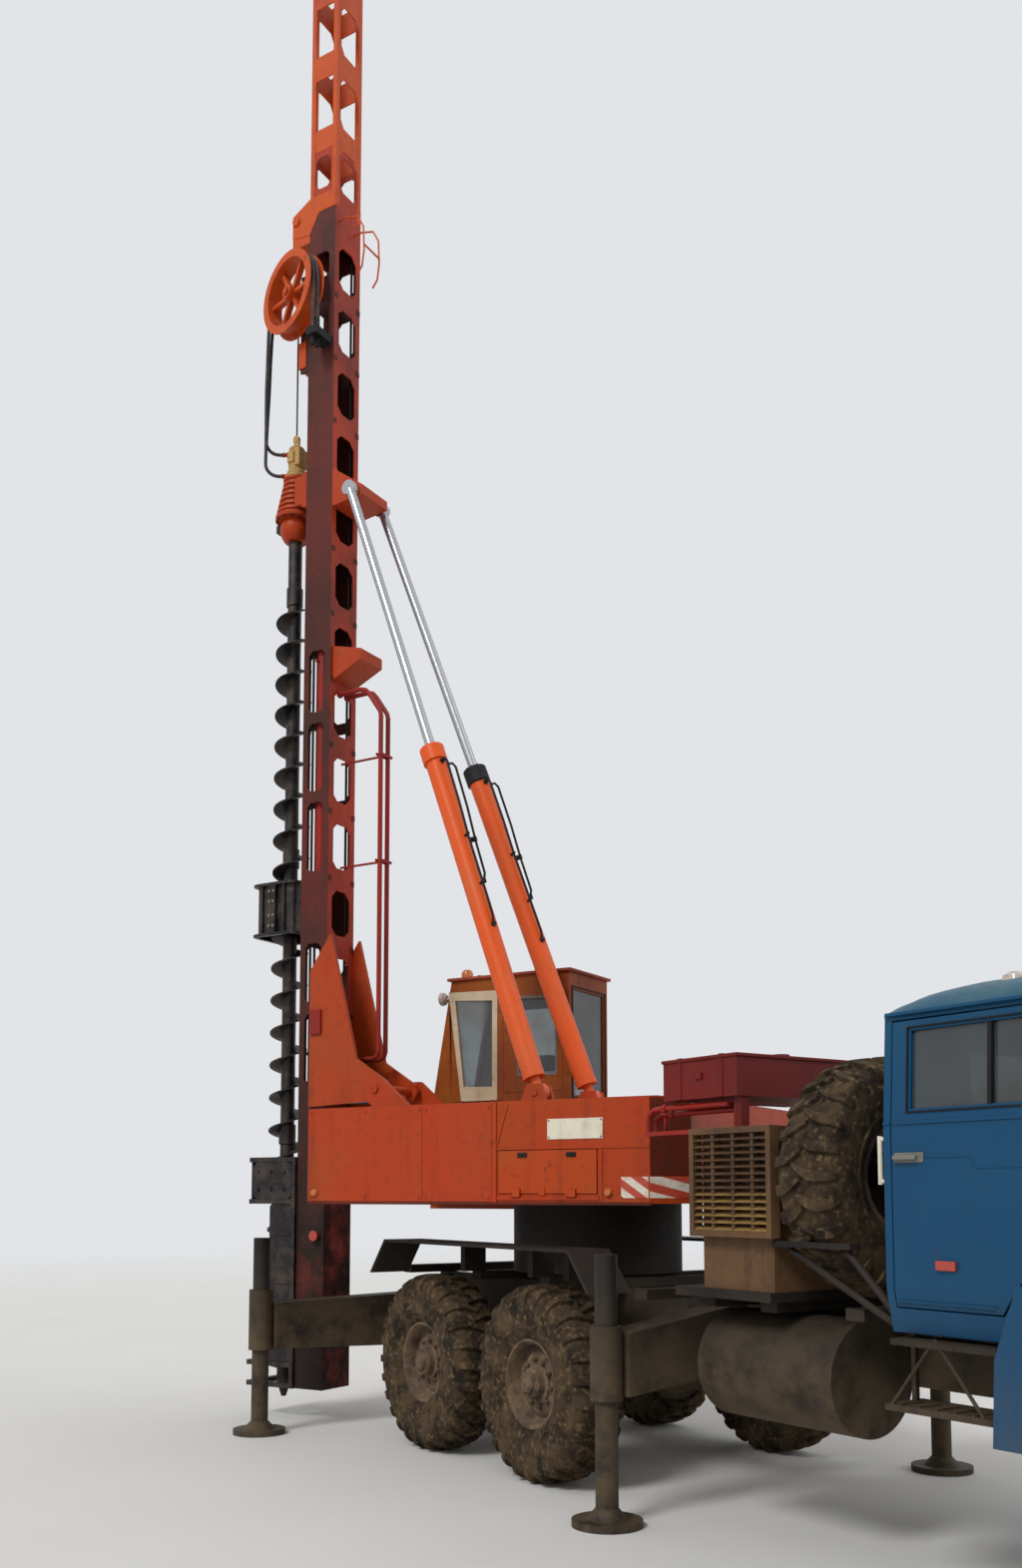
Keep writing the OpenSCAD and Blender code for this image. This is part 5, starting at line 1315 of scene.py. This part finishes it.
def cab_trim():
    """Gutter, glass, rubbers, lamps, mirrors, wipers and handles of the truck's cab."""
    s = on_truck()
    for side in (1, -1):
        s.box((CAB_BACK + 0.02, side * (CAB_EAVE_Y - 0.004), 2.676),
              (ROOF_FRONT, side * (CAB_EAVE_Y + 0.024), 2.694))
        s.box((CAB_BACK + 0.001, side * (CAB_Y - 0.008), 2.162),
              (3.0 - 0.008, side * (CAB_Y + 0.004), 2.178))
    s.box((CAB_BACK - 0.020, -CAB_EAVE_Y + 0.02, 2.676), (CAB_BACK + 0.03, CAB_EAVE_Y - 0.02, 2.694))
    s.make("cab_gutter", "cab_blue", "cab_blue", 0.004)

    slope = Vector((0.30, 0, -0.62)).normalized()
    square = Vector((0.62, 0, 0.30)).normalized()
    crest = Vector((ROOF_FRONT, 0, SCREEN_TOP))
    s = on_truck()
    for side in (1, -1):
        a, b = crest + slope * 0.11 - square * 0.02, crest + slope * 0.65 - square * 0.02
        c, d = b - square * 0.006, a - square * 0.006
        s.prism([(p.x, p.z) for p in (a, b, c, d)], "Y", side * 0.04, side * 0.90)
    s.box((CAB_BACK + 0.015, -0.53, 2.17), (CAB_BACK + 0.021, 0.53, 2.55))
    s.make("cab_panes", "glass", "glass", replaces=("cab_glass",))
    s = on_truck()
    s.ring_plate(grown(BACK_WINDOW, 0.018), grown(BACK_WINDOW, -0.012), "X", CAB_BACK - 0.008,
                 CAB_BACK + 0.012)
    s.make("back_rubber", "seal_black", "cab_blue", 0.002)

    s = on_truck()
    for side in (1, -1):
        x, y = CAB_BACK - 0.045, side * 1.09
        s.rod((x, y, 1.885), (x, y, 2.115), 0.012, 12)
        for z in (1.90, 2.10):
            s.rod((x, y, z), (CAB_BACK + 0.005, y, z), 0.010, 10)
            s.rod((CAB_BACK - 0.004, y, z), (CAB_BACK + 0.004, y, z), 0.022, 14)
    s.make("grab_handles", "plate_white", "cab_blue")
    lamps(on_truck(), "roof_lamps", "lamp_clear", "cab_blue",
          [(0.0, 0.05), (0.03, 0.046), (0.055, 0.03), (0.062, 0.0)],
          [(3.50, side * 0.84, 2.80) for side in (1, -1)], "Z", 22)

    s = on_truck()
    for side in (1, -1):
        s.sweep([(4.08, side * 1.05, 2.42), (4.13, side * 1.18, 2.46), (4.14, side * 1.30, 2.44)], 0.010,
                8)
        s.sweep([(4.20, side * 1.05, 2.22), (4.17, side * 1.18, 2.26), (4.14, side * 1.30, 2.30)], 0.010,
                8)
        s.prism(chamfered(side * 1.29 - 0.075, side * 1.29 + 0.075, 2.24, 2.52, 0.02), "X", 4.125, 4.15)
    s.make("mirrors", "seal_black", "cab_blue", 0.004)
    s = on_truck()
    for y in (-0.50, 0.40):
        low = crest + slope * 0.66 + square * 0.012
        high = crest + slope * 0.25 + square * 0.016
        s.rod((low.x, y, low.z), (high.x, y + 0.16, high.z), 0.006, 8)
        s.rod((high.x - 0.01 + slope.x * 0.2, y + 0.08, high.z + slope.z * 0.2),
              (high.x, y + 0.23, high.z), 0.005, 8)
        s.rod((low.x, y, low.z - 0.01), (low.x - 0.02, y, low.z + 0.01), 0.014, 10)
    s.make("wipers", "seal_black", "cab_blue")

    s, lens = on_truck(), on_truck()
    for side in (1, -1):
        at = (5.56, side * 0.82, 1.25)
        s.lathe([(0.0, 0.0), (0.112, 0.0), (0.116, 0.045), (0.112, 0.062), (0.100, 0.066), (0.098, 0.05),
                 (0.0, 0.05)], 32,
                at, "X")
        lens.lathe([(0.0, 0.078), (0.04, 0.075), (0.075, 0.066), (0.098, 0.05), (0.0, 0.05)], 32, at, "X")
    s.make("headlamp_rims", "grey_steel", "cab_blue", 0.002)
    lens.make("headlamp_lenses", "lamp_clear", "cab_blue")
    lamps(on_truck(), "turn_lamps", "lamp_orange", "cab_blue",
          [(0.0, 0.03), (0.025, 0.026), (0.036, 0.012), (0.038, 0.0)],
          [(5.585, side * 1.10, 1.28) for side in (1, -1)], "X", 18)
    s = on_truck()
    for k in range(15):
        y = -0.49 + 0.07 * k
        s.box((5.607, y - 0.018, 1.16), (5.614, y + 0.018, 1.45))
    s.make("grille_slots", "seal_black", "cab_blue", 0.002)


# Deck and chassis details

def guard():
    """The slatted guard in front of the radiator."""
    x0, x1, z0, z1 = 1.56, 2.20, 1.61, 2.20
    rail = 0.035
    outline = [(x0, z0), (x0, z1), (x1, z1), (x1, z0)]
    s = on_truck()
    opening = [(x0 + rail, z0 + rail), (x0 + rail, z1 - rail), (x1 - rail, z1 - rail),
               (x1 - rail, z0 + rail)]
    s.ring_plate(outline, opening, "Y", -1.13, -1.06)
    for x in (1.74, 1.90, 2.05):
        s.box((x - 0.012, -1.118, z0 + 0.01), (x + 0.012, -1.07, z1 - 0.01))
    s.make("guard_frame", "guard_brown", "guard_yellow", 0.004, replaces=("radiator_guard",))
    upper, lower = on_truck(), on_truck()
    rows = 14
    pitch = (z1 - z0 - 2 * rail) / rows
    for i in range(rows):
        z = z0 + rail + pitch * i
        slat = [(-1.126, z + 0.002), (-1.120, z + 0.002), (-1.082, z + 0.026), (-1.088, z + 0.026)]
        (lower if i < 6 else upper).prism(slat, "X", x0 + 0.01, x1 - 0.01)
    upper.make("guard_slats_upper", "guard_brown", "guard_yellow", replaces=("radiator_guard",))
    lower.make("guard_slats_lower", "guard_yellow", "guard_yellow", replaces=("radiator_guard",))


def deck_details():
    """Tank lid and straps, pipes, spare wheel struts, step rods, hooks and lamps on the truck."""
    s = on_truck()
    s.box((1.06, -0.91, 2.612), (1.72, 0.11, 2.632))
    for x in (1.20, 1.56):
        s.box((x, -0.906, 2.39), (x + 0.035, -0.898, 2.615))
        s.box((x, -0.906, 2.628), (x + 0.035, 0.10, 2.637))
    s.rod((1.39, -0.25, 2.63), (1.39, -0.25, 2.68), 0.055, 24)
    s.box((1.36, -0.912, 2.50), (1.42, -0.90, 2.54))
    s.make("tank_lid", "tank_red", "tank_red", 0.004)
    s = on_truck()
    for y, z in ((-0.86, 2.35), (-0.80, 2.32), (-0.72, 2.35)):
        s.sweep([(1.60, y, z), (1.0, y, z), (0.93, y, z - 0.005), (0.885, y, z - 0.03),
                 (0.875, y, z - 0.08),
                 (0.875, y, 2.21)], 0.017, 10)
        s.rod((1.02, y, z), (1.05, y, z), 0.026, 6)
    s.box((0.86, -0.88, 2.19), (1.62, -0.70, 2.215))
    s.make("tank_pipes", "pipe_red", "pipe_red")

    s = on_truck()
    s.rod((2.19, -1.05, 1.59), (2.98, -1.05, 1.21), 0.018, 10)
    s.rod((2.65, -1.05, 1.555), (3.01, -1.05, 1.215), 0.018, 10)
    s.box((2.16, -1.09, 1.57), (2.70, -1.01, 1.60))
    s.make("spare_struts", "chassis_black", "chassis_black")
    s = on_truck()
    for side in (1, -1):
        for a, b in ((2.99, 3.25), (3.51, 3.25)):
            s.rod((a, side * 1.15, 0.87), (b, side * 1.15, 1.19), 0.009, 8)
        for x in (3.05, 3.15, 3.25, 3.35, 3.45):
            s.box((x - 0.008, side * 1.0, 0.878), (x + 0.008, side * 1.155, 0.888))
    s.make("step_rods", "chassis_black", "chassis_black")

    s = on_truck()
    for side in (1, -1):
        s.sweep([(x, side * 0.36, z) for x,
                 z in [(5.90, 0.83)] + arc(5.96, 0.89, 0.06, -90, 90, 8) + [(5.90, 0.95)]],
                0.016, 10)
        s.box((5.935, side * 0.36 - 0.05, 0.79), (5.955, side * 0.36 + 0.05, 0.99))
    s.make("tow_hooks", "chassis_black", "chassis_black")
    s = on_truck()
    s.box((5.948, -0.26, 0.83), (5.957, 0.26, 0.94))
    s.make("number_plate_blank", "plate_white", "chassis_black", 0.002)
    lamps(on_truck(), "frame_lamps", "lamp_red", "chassis_black",
          [(0.0, -0.03), (0.03, -0.026), (0.042, -0.014), (0.045, 0.0)],
          [(-2.50, side * 0.37, 1.0) for side in (1, -1)], "X")


# Camera, light and floor

CAMERA_AT = (6.338, -6.134, 1.840)
CAMERA_YAW = math.radians(33.15)
CAMERA_PITCH = math.radians(5)
LENS = 31.53
SHIFT_Y = 0.185


def camera():
    data = bpy.data.cameras.new("camera")
    data.lens = LENS
    data.sensor_width = 36
    data.shift_y = SHIFT_Y
    data.clip_end = 300
    obj = bpy.data.objects.new("camera", data)
    forward = Vector((-math.cos(CAMERA_YAW) * math.cos(CAMERA_PITCH),
                      math.sin(CAMERA_YAW) * math.cos(CAMERA_PITCH), math.sin(CAMERA_PITCH)))
    obj.location = CAMERA_AT
    obj.rotation_euler = forward.to_track_quat("-Z", "Y").to_euler()
    bpy.context.scene.collection.objects.link(obj)
    bpy.context.scene.camera = obj


def seen_as(tree, plain, shown):
    """A background that camera, glossy and transmission rays see as shown, and light sees plain."""
    path = tree.nodes.new("ShaderNodeLightPath")
    seen = path.outputs["Is Camera Ray"]
    for ray in ("Is Glossy Ray", "Is Transmission Ray"):
        either = tree.nodes.new("ShaderNodeMath")
        either.operation = "MAXIMUM"
        tree.links.new(seen, either.inputs[0])
        tree.links.new(path.outputs[ray], either.inputs[1])
        seen = either.outputs[0]
    mix = tree.nodes.new("ShaderNodeMixShader")
    tree.links.new(seen, mix.inputs[0])
    tree.links.new(plain, mix.inputs[1])
    tree.links.new(shown, mix.inputs[2])
    return mix.outputs[0]


def light_and_floor():
    scene = bpy.context.scene
    scene.view_settings.view_transform = "Standard"
    world = bpy.data.worlds.new("studio")
    world.use_nodes = True
    scene.world = world
    tree = world.node_tree
    plain = tree.nodes["Background"]
    plain.inputs["Color"].default_value = (1, 1, 1, 1)
    plain.inputs["Strength"].default_value = 0.62
    shown = tree.nodes.new("ShaderNodeBackground")
    shown.inputs["Color"].default_value = rgb(226, 228, 231)
    out = seen_as(tree, plain.outputs[0], shown.outputs[0])
    tree.links.new(out, tree.nodes["World Output"].inputs["Surface"])

    for name, strength, spread, turn in (("key", 1.7, 18, (48, 0, 20)), ("fill", 0.5, 40, (60, 0, 130))):
        data = bpy.data.lights.new(name, "SUN")
        data.energy = strength
        data.angle = math.radians(spread)
        obj = bpy.data.objects.new(name, data)
        obj.rotation_euler = [math.radians(a) for a in turn]
        scene.collection.objects.link(obj)

    floor = bpy.data.meshes.new("floor")
    r = 90.0
    floor.from_pydata([(-r, -r, 0), (r, -r, 0), (r, r, 0), (-r, r, 0)], [], [(0, 1, 2, 3)])
    obj = bpy.data.objects.new("floor", floor)
    scene.collection.objects.link(obj)
    n = Nodes("floor_pale")
    length = n.new("ShaderNodeVectorMath", operation="LENGTH")
    n.join(n.place, length.inputs[0])
    far = n.range(length.outputs["Value"], 12.0, 45.0)
    n.done(Base_Color=n.mix(n.noise(0.8, 6.0), rgb(214, 213, 210), rgb(206, 205, 202)), Roughness=0.85)
    glow = n.new("ShaderNodeEmission")
    glow.inputs["Color"].default_value = rgb(226, 228, 231)
    mix = n.new("ShaderNodeMixShader")
    path = n.new("ShaderNodeLightPath")
    n.join(n.math("MULTIPLY", far, path.outputs["Is Camera Ray"]), mix.inputs[0])
    n.join(n.shader.outputs[0], mix.inputs[1])
    n.join(glow.outputs[0], mix.inputs[2])
    n.join(mix.outputs[0], n.tree.nodes["Material Output"].inputs["Surface"])
    floor.materials.append(n.material)


camera()
for step in (make_materials, dress_cad_nodes, hoses, wheels, auger, mast_tube, mast_inside, upper_mast,
             mast_fittings, guides, drive_head, drive_motor, cylinders, platform_trim, operator_trim,
             truck_cab,
             cab_trim, guard, deck_details, light_and_floor):
    step()
